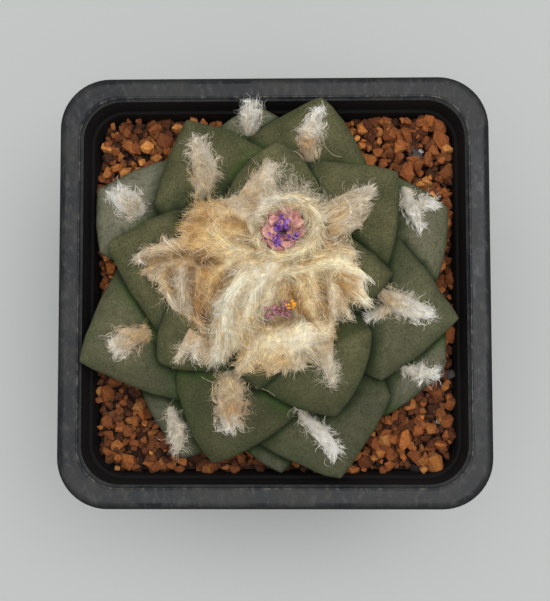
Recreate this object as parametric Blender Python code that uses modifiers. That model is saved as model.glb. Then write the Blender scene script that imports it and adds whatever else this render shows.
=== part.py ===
"""A living rock cactus in a square plastic nursery pot, in metres with +Z up.

The origin is the middle of the pot's underside. The front of the pot is at -Y.
The plant is one grown body: a stem on a taproot with a rosette of kite-shaped
tubercles. White wool grows from the tubercles' faces, a cushion of cream wool
fills the crown, and two flowers stand in that cushion.
"""

import math
import random

import bmesh
import bpy
from mathutils import Vector
from mathutils.bvhtree import BVHTree

MM = 0.001

# The clearance that neighbouring pieces keep, and what a clearance body is grown by to give it.
GAP = 0.3 * MM
GROWTH = 0.42 * MM

# The pot: a square of this half width at the rim, with round corners.
POT_HEIGHT = 85 * MM
RIM_HALF = 49 * MM
RIM_CORNER = 11.5 * MM
MOUTH_HALF = 43.1 * MM
FOOT_HALF = 35 * MM
FLOOR_TOP = 2.7 * MM
CORNER_STEPS = 4
DRAIN_RADIUS = 4 * MM
DRAIN_SPREAD = 19 * MM

# The grit: a filling whose top is a bed of raised chips of crushed brick.
BED_TOP = 74.6 * MM
CORNER_HEAP = 1.6 * MM
CHIP_PITCH = 4.8 * MM
CHIP_UNEVEN = 0.32
CHIP_BEVEL = 0.42 * MM
CHIP_RISE = 1.5 * MM
COVERED_RADIUS = 28 * MM
PLANT_X = -0.8 * MM
PLANT_Y = 2.5 * MM

# The stem and taproot, as (radius, height over the table) from the crown down.
STEM_PROFILE = (
    (0, 92.5), (7, 91.8), (13, 89), (16.5, 84), (17, 79), (15.5, 71),
    (12, 58), (8, 46), (4, 35), (0, 30),
)
STEM_STEPS = 16

# How a tubercle's faces are bowed.
TUBERCLE_AROUND = 12
TUBERCLE_RINGS = 8
FACE_BOW = 2.4 * MM
FACE_FLATNESS = 2.6
KEEL_SHARPNESS = 1.4

# Each tubercle is a kite: (tip, left corner, right corner, root) in millimetres from the pot's
# middle, then the depth of its keel and how straight the edges to its tip run: 1 is a full
# ellipse and 2 is a straight line. The list goes from the lowest and oldest to the crown.
TUBERCLES = (
    ((1.5, -41.2, 82), (-8.5, -33, 82), (6.5, -33, 82), (-2, -16, 82), 4.4, 1.5),
    ((-4.5, 42.2, 84.4), (-15, 35, 83), (4.5, 37, 84), (-2, 16, 83), 4.8, 1.6),
    ((37.8, -18.4, 84), (37.8, -7, 84), (23.5, -28.5, 84), (15, -6, 83), 5.2, 1.6),
    ((-20.8, -37.6, 84), (-30, -22, 84), (-11, -33, 84), (-10, -12, 83), 5.2, 1.7),
    ((-40.2, 23.7, 82.5), (-23, 30.5, 83), (-39.8, 8.8, 82.5), (-15, 9, 83), 4.6, 1.72),
    ((14.8, -41.8, 87.5), (-4, -33.5, 88), (25.6, -23.5, 89), (6, -8, 86), 8, 1.72),
    ((39, 18.4, 86), (27, 25.3, 87), (36.5, 1.8, 86.5), (12, 6, 86), 7.2, 1.7),
    ((-43, -15.9, 88.2), (-34.6, 5, 89), (-20.5, -24.6, 90), (-12, -5, 87), 8, 1.75),
    ((41, -6.6, 88), (27.6, 10.8, 91), (23.5, -20.2, 91), (10, 0, 89), 8.5, 1.8),
    ((10.9, 42.8, 90), (-6.2, 33, 89.5), (21, 27, 90), (1, 12, 88), 9, 1.7),
    ((-13.3, -37.9, 91), (-21.3, -19, 92), (5.8, -26.4, 92), (-4, -8, 89), 9, 1.55),
    ((-19, 37.2, 92), (-26, 18.5, 92.5), (-2, 30.5, 93), (-6, 8, 90), 9, 1.72),
    ((-36.2, 9.4, 94), (-24, -10.8, 94), (-19.2, 17.6, 94.5), (-8, 1, 88), 10, 1.78),
    ((27, 24.2, 99), (7.6, 26.4, 97.5), (24.6, 4, 96.5), (4, 5, 88), 10, 1.7),
    ((13.5, -27.8, 97), (21.1, -10, 98), (-4, -20, 96.5), (2, 0, 88), 10, 1.5),
    ((-24.5, -16.5, 95), (-9, -17, 96), (-22, -3, 96), (-4, 0, 88), 10, 1.45),
    ((-19.4, 16.6, 97.5), (-18, 8, 98), (-12.5, 18, 98), (-3, 3, 89), 10, 1.4),
    ((-3.2, -22.2, 97.8), (3.6, -16, 98.5), (-8, -16, 98.5), (-1, 0, 89), 10, 1.5),
    ((25.8, 2.5, 98.5), (15, 11.3, 100), (18.5, -5.5, 99), (2, 2, 89), 10, 1.7),
    ((1, 30.4, 101.5), (-11, 17, 97.5), (11, 18.3, 97.5), (0, 4, 88), 9, 1.38),
)

# How far the wool keeps from the skin under it.
WOOL_CLEARANCE = 0.45 * MM

# The crown's cushion of wool, as swellings: (x, y, z) of the middle, half length, half width and
# half height in millimetres, the heading of the long axis in degrees, and the number of locks.
CROWN_SWELLINGS = (
    ((-1.5, 2.5, 98.5), 19, 16, 7.5, 60, 2),
    ((-12.5, 8.5, 98.6), 9.5, 8.6, 6.4, 200, 4),
    ((-3.6, 19, 100.4), 8.6, 5.2, 4, 72, 4),
    ((13.6, 16.4, 100.2), 9, 4.8, 4.2, 35, 5),
    ((13, 3, 100.4), 7.4, 8.4, 5.2, 345, 4),
    ((-22.3, 4.6, 97.8), 7.4, 4.2, 3.8, 170, 4),
    ((-18.6, -3, 98.2), 8, 4.6, 3.8, 250, 2),
    ((-16.6, -10.4, 97.6), 6.8, 5.4, 4.2, 215, 4),
    ((3, -11.6, 99.6), 7, 10.5, 5.8, 275, 6),
    ((12.4, -15.6, 98.2), 7.6, 3.6, 3.4, 282, 4),
    ((-8.4, -3.6, 102), 10.6, 5, 4.6, 248, 6),
    ((8.8, 12.6, 101.6), 5.5, 4.8, 4.6, 30, 3),
    ((-4.4, 12.6, 101.6), 5.4, 5.2, 4.6, 120, 2),
    ((2.4, 17.8, 101.4), 4.4, 5.6, 3.8, 90, 1),
    ((3.4, 4.2, 102.2), 4, 8, 4.4, 280, 2),
)
LOCK_LENGTH = 7.5 * MM
LOCK_RADIUS = 0.75 * MM
CROWN_SEED = 23

# The tufts on the outer tubercles: (inner end, outer end) in plan, the half widths there, the
# height of the wool over the tubercle's face, all in millimetres, and the number of locks.
TUFTS = (
    ("wool_tuft_north", (-5.3, 35.6), (-4.9, 43.2), 1.7, 3.2, 2.6, 6),
    ("wool_tuft_north_east", (8.2, 30), (10.6, 40), 2.9, 1.7, 2.6, 6),
    ("wool_tuft_north_west", (-14.9, 22.6), (-17.4, 33.2), 3.4, 2.7, 2.8, 6),
    ("wool_tuft_west_north", (-31, 18.2), (-36.6, 22), 3.7, 3.2, 2, 6),
    ("wool_tuft_east_north", (29.6, 21.4), (35, 17.6), 1.3, 2.4, 1.8, 5),
    ("wool_tuft_east", (24.4, -3), (34, -5.8), 2.1, 3.1, 2.8, 7),
    ("wool_tuft_east_south", (29.8, -17.6), (35, -18.8), 1.7, 2.4, 1.8, 5),
    ("wool_tuft_south_east", (7.6, -29), (13.4, -36.8), 1.2, 3, 2.2, 7),
    ("wool_tuft_south", (-9, -20), (-10.5, -29.4), 3.3, 3.3, 3.2, 6),
    ("wool_tuft_south_west", (-20.6, -27.4), (-22.2, -34.8), 1.2, 2.1, 1.6, 5),
    ("wool_tuft_west_south", (-29, -10.3), (-36.2, -13.8), 1.8, 3.5, 2.6, 6),
)
TUFT_LOCK_LENGTH = 3.8 * MM
TUFT_LOCK_RADIUS = 0.7 * MM
TUFT_SEED = 3

# The open flower stands in a well in the wool, and the second one is half sunk in its own.
# Each has a stalk that reaches down to the skin.
STALK_RADIUS = 1.7 * MM
CUP_DEPTH = 1 * MM
FLOWER_X = 2.4 * MM
FLOWER_Y = 11.5 * MM
FLOWER_FOOT = 100.8 * MM
FLOWER_RADIUS = 4.3 * MM
FLOWER_HEIGHT = 6 * MM
OUTER_TEPALS = 11
INNER_PETALS = 7
SECOND_X = 1.6 * MM
SECOND_Y = -4.1 * MM
SECOND_FOOT = 99.4 * MM
SECOND_RADIUS = 2.9 * MM
SECOND_HEIGHT = 5 * MM
SECOND_PETALS = 7
STAMENS = 6
FLOWER_SEED = 5


def clear_scene():
    for obj in list(bpy.data.objects):
        bpy.data.objects.remove(obj, do_unlink=True)


def new_collection(name):
    collection = bpy.data.collections.new(name)
    bpy.context.scene.collection.children.link(collection)
    return collection


def new_material(name, colour, roughness):
    material = bpy.data.materials.new(name)
    material.use_nodes = True
    shader = material.node_tree.nodes["Principled BSDF"]
    shader.inputs["Base Color"].default_value = (*colour, 1)
    shader.inputs["Roughness"].default_value = roughness
    shader.inputs["Metallic"].default_value = 0
    material.diffuse_color = (*colour, 1)
    return material


def new_object(name, bm, collection):
    """Makes an object from a bmesh, which it frees."""
    bmesh.ops.recalc_face_normals(bm, faces=bm.faces)
    mesh = bpy.data.meshes.new(name)
    bm.to_mesh(mesh)
    bm.free()
    obj = bpy.data.objects.new(name, mesh)
    collection.objects.link(obj)
    return obj


def evaluated_mesh(obj):
    bpy.context.view_layer.update()
    graph = bpy.context.evaluated_depsgraph_get()
    return bpy.data.meshes.new_from_object(obj.evaluated_get(graph), depsgraph=graph)


def apply_modifiers(obj):
    """Gives the object its evaluated mesh, and keeps only the largest body of it."""
    mesh = evaluated_mesh(obj)
    obj.modifiers.clear()
    old = obj.data
    obj.data = mesh
    bpy.data.meshes.remove(old)
    keep_largest_body(obj.data)


def keep_largest_body(mesh):
    """Drops the loose scraps that a cut can leave, and fills the hollows that a union seals."""
    bm = bmesh.new()
    bm.from_mesh(mesh)
    unseen = set(bm.faces)
    bodies = []
    while unseen:
        body = []
        edge_of_search = [unseen.pop()]
        while edge_of_search:
            face = edge_of_search.pop()
            body.append(face)
            for edge in face.edges:
                for other in edge.link_faces:
                    if other in unseen:
                        unseen.remove(other)
                        edge_of_search.append(other)
        bodies.append(body)
    bodies.sort(key=lambda body: sum(face.calc_area() for face in body))
    scraps = [face for body in bodies[:-1] for face in body]
    bmesh.ops.delete(bm, geom=scraps, context="FACES")
    bm.to_mesh(mesh)
    bm.free()


def remove_object(obj):
    bpy.data.objects.remove(obj, do_unlink=True)


def fuse(base, members):
    """Joins the members into the base with one Boolean union, and removes them."""
    group = new_collection(base.name + "_members")
    for member in members:
        for user in list(member.users_collection):
            user.objects.unlink(member)
        group.objects.link(member)
    union = base.modifiers.new("union", "BOOLEAN")
    union.operation = "UNION"
    union.operand_type = "COLLECTION"
    union.collection = group
    apply_modifiers(base)
    for member in members:
        remove_object(member)
    bpy.data.collections.remove(group)


def add_boolean(obj, cutter, operation="DIFFERENCE"):
    boolean = obj.modifiers.new(cutter.name, "BOOLEAN")
    boolean.operation = operation
    boolean.object = cutter
    return boolean


def hide_cutter(cutter):
    cutter.hide_render = True
    cutter.display_type = "WIRE"


def finish(obj, material, angle=40):
    obj.data.materials.clear()
    obj.data.materials.append(material)
    obj.data.shade_smooth()
    obj.data.set_sharp_from_angle(angle=math.radians(angle))


def rounded_square(bm, half, corner, z):
    """One ring of points round a square with round corners, counter-clockwise from above."""
    ring = []
    for quarter in range(4):
        middle_angle = math.radians(45 + 90 * quarter)
        middle_x = math.copysign(half - corner, math.cos(middle_angle))
        middle_y = math.copysign(half - corner, math.sin(middle_angle))
        for step in range(CORNER_STEPS + 1):
            angle = math.radians(90 * (quarter + step / CORNER_STEPS))
            x = middle_x + corner * math.cos(angle)
            y = middle_y + corner * math.sin(angle)
            ring.append(bm.verts.new((x, y, z)))
    return ring


def loft_squares(name, levels, collection):
    """A closed body through rounded squares, each (half width, corner radius, height)."""
    bm = bmesh.new()
    rings = [rounded_square(bm, *level) for level in levels]
    for lower, upper in zip(rings, rings[1:]):
        count = len(lower)
        for i in range(count):
            j = (i + 1) % count
            bm.faces.new((lower[i], lower[j], upper[j], upper[i]))
    bm.faces.new(rings[0])
    bm.faces.new(rings[-1])
    return new_object(name, bm, collection)


def wall_half(z):
    """The half width of the pot's inside at a height, below the ledge under its collar."""
    bottom = FOOT_HALF - 1.1 * MM
    top = MOUTH_HALF - 1.4 * MM
    return bottom + (top - bottom) * (z - FLOOR_TOP) / (POT_HEIGHT - 6 * MM - FLOOR_TOP)


def wall_corner(z):
    """The corner radius of the pot's inside at a height, below the ledge."""
    return 5.4 * MM + 1.9 * MM * z / POT_HEIGHT


def turned(name, profile, steps, collection):
    """A turned body, from (radius, height) points that run down its outer side."""
    mesh = bpy.data.meshes.new(name)
    points = [(radius, 0, height) for radius, height in profile]
    edges = [(i, i + 1) for i in range(len(points) - 1)]
    mesh.from_pydata(points, edges, [])
    obj = bpy.data.objects.new(name, mesh)
    collection.objects.link(obj)
    screw = obj.modifiers.new("turn", "SCREW")
    screw.steps = steps
    screw.render_steps = steps
    screw.use_merge_vertices = True
    screw.merge_threshold = 0.00001
    return obj


def make_pot(parts, cutters):
    top = POT_HEIGHT
    levels = [
        (29.5 * MM, 4.6 * MM, 1.2 * MM),
        (30.2 * MM, 4.8 * MM, 0),
        (FOOT_HALF - 0.9 * MM, 5.6 * MM, 0),
        (FOOT_HALF, 6.2 * MM, 0.9 * MM),
        (wall_half(71 * MM) + 1.2 * MM, 8 * MM, 71 * MM),
        (44.3 * MM, 9 * MM, 74 * MM),
        (44.7 * MM, 9.4 * MM, top - 2.4 * MM),
        (47.2 * MM, 10.2 * MM, top - 2.4 * MM),
        (47.4 * MM, 10.3 * MM, top - 6.8 * MM),
        (RIM_HALF - 0.3 * MM, 11.3 * MM, top - 6.8 * MM),
        (RIM_HALF, RIM_CORNER, top - 1.6 * MM),
        (RIM_HALF - 0.45 * MM, RIM_CORNER - 0.4 * MM, top - 0.5 * MM),
        (RIM_HALF - 1.5 * MM, RIM_CORNER - 1.2 * MM, top),
        (MOUTH_HALF + 1 * MM, 9.4 * MM, top),
        (MOUTH_HALF + 0.8 * MM, 9.3 * MM, top - 0.3 * MM),
        (MOUTH_HALF, 8.6 * MM, top - 0.7 * MM),
        (MOUTH_HALF - 0.5 * MM, 8.2 * MM, top - 5.2 * MM),
        (MOUTH_HALF - 1.3 * MM, 7.4 * MM, top - 5.8 * MM),
        (wall_half(71 * MM), wall_corner(71 * MM), 71 * MM),
        (wall_half(FLOOR_TOP), wall_corner(FLOOR_TOP), FLOOR_TOP),
    ]
    pot = loft_squares("pot", levels, parts)
    spots = [(0, 0)]
    for side_x in (-1, 1):
        for side_y in (-1, 1):
            spots.append((side_x * DRAIN_SPREAD, side_y * DRAIN_SPREAD))
    for number, (x, y) in enumerate(spots):
        bm = bmesh.new()
        bmesh.ops.create_cone(
            bm, cap_ends=True, segments=16, radius1=DRAIN_RADIUS, radius2=DRAIN_RADIUS, depth=10 * MM
        )
        bmesh.ops.translate(bm, verts=bm.verts, vec=(x, y, FLOOR_TOP / 2))
        drain = new_object(f"drain_{number}", bm, cutters)
        hide_cutter(drain)
        add_boolean(pot, drain)
    finish(pot, new_material("black_plastic", (0.028, 0.03, 0.033), 0.55))
    return pot


def make_stem(name, grow, collection):
    """The stem and taproot. A grown one is the hole that it stands in."""
    profile = []
    for radius, height in STEM_PROFILE:
        wider = radius * MM + grow if radius else 0
        middle = 80
        taller = height * MM + math.copysign(grow, height - middle)
        profile.append((wider, taller))
    stem = turned(name, profile, STEM_STEPS, collection)
    stem.location = (PLANT_X, PLANT_Y, 0)
    return stem


def kite_point(row, angle):
    """A point of the tubercle's waist, at an angle round the crossing of the kite's diagonals."""
    tip, left, right, root, _, straightness = row
    tip, left, right, root = (Vector(corner) * MM for corner in (tip, left, right, root))
    centre = kite_centre(row)
    forward = math.cos(angle)
    sideways = math.sin(angle)
    end = tip if forward > 0 else root
    side = left if sideways > 0 else right
    power = straightness if forward > 0 else 1
    reach = abs(forward) ** power
    spread = abs(sideways) ** power
    return centre + (end - centre) * reach + (side - centre) * spread


def kite_centre(row):
    """Where the kite's diagonals cross in plan, at the mean height of its side corners."""
    tip, left, right, root = (Vector(corner) * MM for corner in row[:4])
    along = tip - root
    across = right - left
    start = left - root
    turn = along.x * across.y - along.y * across.x
    share = (start.x * across.y - start.y * across.x) / turn
    centre = root + along * share
    centre.z = (left.z + right.z) / 2
    return centre


def make_tubercle(name, row, grow, collection):
    """A sphere drawn out to a kite, with a bowed upper face and a keel below."""
    depth = row[4] * MM + grow
    centre = kite_centre(row)
    bm = bmesh.new()
    bmesh.ops.create_uvsphere(
        bm, u_segments=TUBERCLE_AROUND, v_segments=TUBERCLE_RINGS, radius=1
    )
    for vert in bm.verts:
        angle = math.atan2(vert.co.y, vert.co.x)
        share = min(1, math.hypot(vert.co.x, vert.co.y))
        reach = kite_point(row, angle) - centre
        reach += reach.normalized() * grow
        if vert.co.z > 0:
            lift = (FACE_BOW + grow) * (1 - share**FACE_FLATNESS) ** (1 / FACE_FLATNESS)
        else:
            lift = -depth * (1 - share**KEEL_SHARPNESS)
        vert.co = centre + reach * share + Vector((0, 0, lift))
    return new_object(name, bm, collection)


def make_plant_body(name, grow, collection):
    stem = make_stem(name, grow, collection)
    members = []
    for number, row in enumerate(TUBERCLES):
        members.append(make_tubercle(f"{name}_tubercle_{number}", row, grow, collection))
    fuse(stem, members)
    return stem


def make_grit(parts, cutters):
    """The filling with its bed of chips, and the plain hole that the root stands in."""
    draw = random.Random(11)
    count = math.ceil(2 * MOUTH_HALF / CHIP_PITCH)
    half = count * CHIP_PITCH / 2
    bm = bmesh.new()
    bmesh.ops.create_grid(bm, x_segments=count, y_segments=count, size=half)
    for vert in bm.verts:
        if max(abs(vert.co.x), abs(vert.co.y)) < half - CHIP_PITCH / 2:
            vert.co.x += draw.uniform(-1, 1) * CHIP_UNEVEN * CHIP_PITCH
            vert.co.y += draw.uniform(-1, 1) * CHIP_UNEVEN * CHIP_PITCH
        vert.co.z = bed_height(vert.co) + draw.uniform(-0.3, 0.3) * MM
    chips = [face for face in bm.faces if plant_distance(face.calc_center_median()) > COVERED_RADIUS]
    below = bmesh.ops.extrude_face_region(bm, geom=bm.faces[:])
    for vert in below["geom"]:
        if isinstance(vert, bmesh.types.BMVert):
            vert.co.z = FLOOR_TOP - 3 * MM
    bmesh.ops.inset_individual(bm, faces=chips, thickness=CHIP_BEVEL, depth=-CHIP_RISE)
    for face in chips:
        lean_x = draw.uniform(-0.4, 0.4)
        lean_y = draw.uniform(-0.4, 0.4)
        lift = draw.uniform(-0.4, 0.4) * MM
        middle = face.calc_center_median()
        for vert in face.verts:
            vert.co.z += lift + lean_x * (vert.co.x - middle.x) + lean_y * (vert.co.y - middle.y)
    grit = new_object("grit", bm, parts)
    levels = []
    for z in (FLOOR_TOP + GAP, BED_TOP + 8 * MM):
        levels.append((wall_half(z) - GAP, wall_corner(z), z))
    filling = loft_squares("grit_filling", levels, cutters)
    hole = make_stem("root_hole", GAP, cutters)
    hide_cutter(filling)
    hide_cutter(hole)
    add_boolean(grit, filling, "INTERSECT")
    add_boolean(grit, hole)
    finish(grit, new_material("brick_grit", (0.26, 0.09, 0.035), 0.9), angle=15)
    return grit


def plant_distance(point):
    return math.hypot(point.x - PLANT_X, point.y - PLANT_Y)


def bed_height(point):
    """The bed is heaped a little in the pot's corners, most at the back right."""
    corner = abs(point.x * point.y) / MOUTH_HALF**2
    back_right = max(0, point.x * point.y) / MOUTH_HALF**2 if point.x > 0 else 0
    return BED_TOP + CORNER_HEAP * corner + CORNER_HEAP * back_right


def make_swelling(name, middle, size, heading, collection, around=8, rings=6):
    """An ellipsoid of wool, (half length, half width, half height), turned to its heading."""
    bm = bmesh.new()
    bmesh.ops.create_uvsphere(bm, u_segments=around, v_segments=rings, radius=1)
    bmesh.ops.scale(bm, verts=bm.verts, vec=size)
    swelling = new_object(name, bm, collection)
    swelling.location = middle
    swelling.rotation_euler.z = heading
    return swelling


def make_lock(name, root, middle, tip, radius, collection):
    """A curved lock of wool, a slim three-sided spindle along the curve from root to tip."""
    side = (middle - root).cross(tip - middle).normalized()
    bm = bmesh.new()
    bmesh.ops.create_uvsphere(bm, u_segments=3, v_segments=4, radius=1)
    for vert in bm.verts:
        share = (vert.co.z + 1) / 2
        spot = root.lerp(middle, share).lerp(middle.lerp(tip, share), share)
        heading = (middle - root).lerp(tip - middle, share).normalized()
        other = heading.cross(side)
        vert.co = spot + (side * vert.co.x + other * vert.co.y) * radius
    return new_object(name, bm, collection)


def make_swelling_locks(name, row, grow, draw, collection):
    """Locks that lie along a swelling's heading and lift off its skin."""
    (x, y, z), length, width, height, heading, count = row
    middle = Vector((x, y, z)) * MM
    size = Vector((length, width, height)) * MM
    along = Vector((math.cos(math.radians(heading)), math.sin(math.radians(heading)), 0))
    across = Vector((-along.y, along.x, 0))
    locks = []
    for number in range(count):
        bearing = math.radians(draw.uniform(-75, 75))
        climb = math.radians(draw.uniform(12, 62))
        out = Vector((
            math.cos(bearing) * math.cos(climb), math.sin(bearing) * math.cos(climb), math.sin(climb)
        ))
        skin = middle + along * out.x * size.x + across * out.y * size.y
        skin.z += out.z * size.z
        normal = along * out.x / size.x + across * out.y / size.y + Vector((0, 0, out.z / size.z))
        normal.normalize()
        sweep = along + across * draw.uniform(-0.5, 0.5) + Vector((0, 0, -0.25))
        sweep = (sweep - normal * sweep.dot(normal)).normalized()
        reach = LOCK_LENGTH * draw.uniform(0.7, 1.1)
        root = skin - sweep * 0.45 * reach - normal * 1.5 * MM
        bend = skin + normal * 0.9 * MM
        tip = skin + sweep * (0.5 * reach + grow) + normal * draw.uniform(0.3, 1.1) * MM
        radius = LOCK_RADIUS * draw.uniform(0.85, 1.25) + grow
        locks.append(make_lock(f"{name}_{number}", root, bend, tip, radius, collection))
    return locks


def make_crown_wool(name, grow, collection):
    """The cushion of wool in the crown. A grown one is what keeps the tufts clear of it."""
    draw = random.Random(CROWN_SEED)
    members = []
    for number, row in enumerate(CROWN_SWELLINGS):
        middle, length, width, height, heading, _ = row
        size = (length * MM + grow, width * MM + grow, height * MM + grow)
        body = make_swelling(
            f"{name}_{number}", Vector(middle) * MM, size, math.radians(heading), collection
        )
        members.append(body)
        members += make_swelling_locks(f"{name}_lock_{number}", row, grow, draw, collection)
    base = members.pop(0)
    base.name = name
    base.data.transform(base.matrix_basis)
    base.matrix_basis.identity()
    fuse(base, members)
    return base


def make_tuft(row, surface, draw, collection):
    """Wool along a tubercle's face, on the spine between the tuft's two ends."""
    name, inner, outer, inner_width, outer_width, height, count = row
    start = Vector((*inner, 0)) * MM
    end = Vector((*outer, 0)) * MM
    start.z = surface(start)
    end.z = surface(end)
    along = (end - start).normalized()
    across = Vector((-along.y, along.x, 0)).normalized()
    wide = 0.5 * (inner_width + outer_width)
    spare = 0.55 * wide * MM
    bm = bmesh.new()
    bmesh.ops.create_uvsphere(bm, u_segments=8, v_segments=6, radius=1)
    for vert in bm.verts:
        share = (vert.co.x + 1) / 2
        blunt = max(1 - vert.co.x**2, 0.01) ** -0.2
        width = (inner_width + (outer_width - inner_width) * share) * blunt * MM
        spot = start.lerp(end, share) + along * vert.co.x * spare + across * vert.co.y * width
        seat = surface(spot) + WOOL_CLEARANCE
        spot.z = seat + (max(vert.co.z, 0) * height + 0.25 * vert.co.z) * MM
        spot.z = max(spot.z, seat)
        vert.co = spot
    core = new_object(name, bm, collection)
    locks = []
    for number in range(count):
        share = (number + 0.5) / count
        width = (inner_width + (outer_width - inner_width) * share) * MM
        side = draw.uniform(0.3, 1) * (1 if number % 2 else -1)
        root = start.lerp(end, share) + across * side * width * 0.5
        root.z = surface(root) + 0.45 * height * MM
        fan = along * draw.uniform(0.6, 1.2) + across * side * 0.8
        fan.z = 0
        fan.normalize()
        reach = TUFT_LOCK_LENGTH * draw.uniform(0.8, 1.25)
        radius = TUFT_LOCK_RADIUS * draw.uniform(0.9, 1.25)
        tip = root + fan * reach
        tip.z = surface(tip) + WOOL_CLEARANCE + radius + draw.uniform(0.2, 1.2) * MM
        bend = root + fan * 0.5 * reach
        bend.z = max(root.z, tip.z) + draw.uniform(1.2, 2) * MM
        locks.append(make_lock(f"{name}_lock_{number}", root, bend, tip, radius, collection))
    fuse(core, locks)
    return core


def make_petal(name, length, width, thickness, curl, collection):
    """A petal standing on its foot along +Z: a flattened spindle that curls over toward +X."""
    bm = bmesh.new()
    bmesh.ops.create_uvsphere(bm, u_segments=4, v_segments=4, radius=1)
    for vert in bm.verts:
        share = (vert.co.z + 1) / 2
        turn = curl * share
        bow = length * share
        x = bow * math.sin(turn * 0.5) + vert.co.x * thickness * math.cos(turn)
        z = bow * math.cos(turn * 0.5) - vert.co.x * thickness * math.sin(turn)
        vert.co = (x, vert.co.y * width * (0.55 + 0.45 * share), z)
    return new_object(name, bm, collection)


def make_bloom(name, spot, foot, count, radius, petal, cup, draw, collection):
    """A ring of petals on a short tube. petal is (length, half width, half thickness, curl)."""
    length, width, thickness, curl = petal
    tube = turned(name, cup, 12, collection)
    tube.location = (*spot, foot)
    members = []
    for number in range(count):
        bearing = 2 * math.pi * (number + draw.uniform(-0.15, 0.15)) / count
        inner_row = number % 2
        reach = radius * (0.86 if inner_row else 1)
        blade = make_petal(
            f"{name}_{number}",
            length * draw.uniform(0.88, 1.08),
            width,
            thickness,
            curl * draw.uniform(0.8, 1.15),
            collection,
        )
        blade.location = (
            spot[0] + reach * math.cos(bearing),
            spot[1] + reach * math.sin(bearing),
            foot + (0.4 * MM if inner_row else 0),
        )
        blade.rotation_euler.z = bearing + math.pi
        members.append(blade)
    fuse(tube, members)
    tube.data.transform(tube.matrix_basis)
    tube.matrix_basis.identity()
    return tube


def stalk_bottom(spot, surface):
    """The height of a stalk's lower end, just over the highest skin under it."""
    heights = []
    for step in range(8):
        bearing = math.radians(45 * step)
        x = spot[0] + STALK_RADIUS * math.cos(bearing)
        y = spot[1] + STALK_RADIUS * math.sin(bearing)
        heights.append(surface(Vector((x, y, 0))))
    return max(heights) + WOOL_CLEARANCE


def cup_profile(radius, rise, bottom):
    """A shallow cup on a stalk, measured from the flower's foot."""
    return (
        (0, rise),
        (radius, rise),
        (radius, -CUP_DEPTH),
        (STALK_RADIUS, -CUP_DEPTH - 0.6 * MM),
        (STALK_RADIUS, bottom),
        (0, bottom),
    )


def make_well(crown_wool, name, spot, foot, radius, surface, cutters):
    """Cuts the well in the crown's wool that a flower and its stalk stand in."""
    bottom = stalk_bottom(spot, surface) - foot - 2 * MM
    profile = []
    for out, height in cup_profile(radius, 20 * MM, bottom):
        lowered = height - 0.5 * MM if height < 0 else height
        profile.append((out + 0.6 * MM if out else 0, lowered))
    well = turned(name, profile, 16, cutters)
    well.location = (*spot, foot)
    hide_cutter(well)
    add_boolean(crown_wool, well)


def make_flowers(parts, surface):
    draw = random.Random(FLOWER_SEED)
    pink = new_material("salmon_tepals", (0.5, 0.2, 0.22), 0.6)
    violet = new_material("violet_petals", (0.2, 0.05, 0.5), 0.6)
    rose = new_material("rose_petals", (0.42, 0.12, 0.22), 0.6)
    orange = new_material("orange_stamens", (0.8, 0.32, 0.02), 0.6)
    spot = (FLOWER_X, FLOWER_Y)
    rise = 0.9 * MM
    cup = cup_profile(FLOWER_RADIUS, rise, stalk_bottom(spot, surface) - FLOWER_FOOT)
    petal = (FLOWER_HEIGHT, 1.6 * MM, 0.4 * MM, math.radians(24))
    reach = FLOWER_RADIUS + 0.2 * MM
    outer = make_bloom(
        "flower_outer_tepals", spot, FLOWER_FOOT, OUTER_TEPALS, reach, petal, cup, draw, parts
    )
    finish(outer, pink)
    knob = ((0, 0.8 * MM), (1.5 * MM, 0.6 * MM), (1.6 * MM, 0), (0, 0))
    petal = (FLOWER_HEIGHT - 1.6 * MM, 0.75 * MM, 0.36 * MM, math.radians(4))
    foot = FLOWER_FOOT + rise + GAP
    reach = 1.2 * MM
    inner = make_bloom(
        "flower_inner_petals", spot, foot, INNER_PETALS, reach, petal, knob, draw, parts
    )
    finish(inner, violet)
    spot = (SECOND_X, SECOND_Y)
    rise = 0.8 * MM
    cup = cup_profile(SECOND_RADIUS, rise, stalk_bottom(spot, surface) - SECOND_FOOT)
    petal = (SECOND_HEIGHT, 1 * MM, 0.38 * MM, math.radians(8))
    reach = SECOND_RADIUS - 0.4 * MM
    second = make_bloom(
        "second_flower_petals", spot, SECOND_FOOT, SECOND_PETALS, reach, petal, cup, draw, parts
    )
    finish(second, rose)
    knob = ((0, 0.7 * MM), (1.1 * MM, 0.5 * MM), (1.2 * MM, 0), (0, 0))
    petal = (SECOND_HEIGHT - 0.4 * MM, 0.42 * MM, 0.36 * MM, math.radians(-4))
    foot = SECOND_FOOT + rise + GAP
    reach = 0.7 * MM
    stamens = make_bloom(
        "second_flower_stamens", spot, foot, STAMENS, reach, petal, knob, draw, parts
    )
    finish(stamens, orange)


def make_surface(plant):
    """A function that gives the height of what lies below a point: the skin, the rim or the air."""
    tree = BVHTree.FromPolygons(
        [vert.co.copy() for vert in plant.data.vertices],
        [tuple(face.vertices) for face in plant.data.polygons],
    )
    sky = 200 * MM

    def surface(point):
        local = Vector((point.x, point.y, sky)) - plant.location
        hit = tree.ray_cast(local, Vector((0, 0, -1)))[0]
        if hit:
            return hit.z + plant.location.z
        over_rim = max(abs(point.x), abs(point.y)) > MOUTH_HALF - 1 * MM
        return POT_HEIGHT if over_rim else POT_HEIGHT - 3 * MM

    return surface


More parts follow.
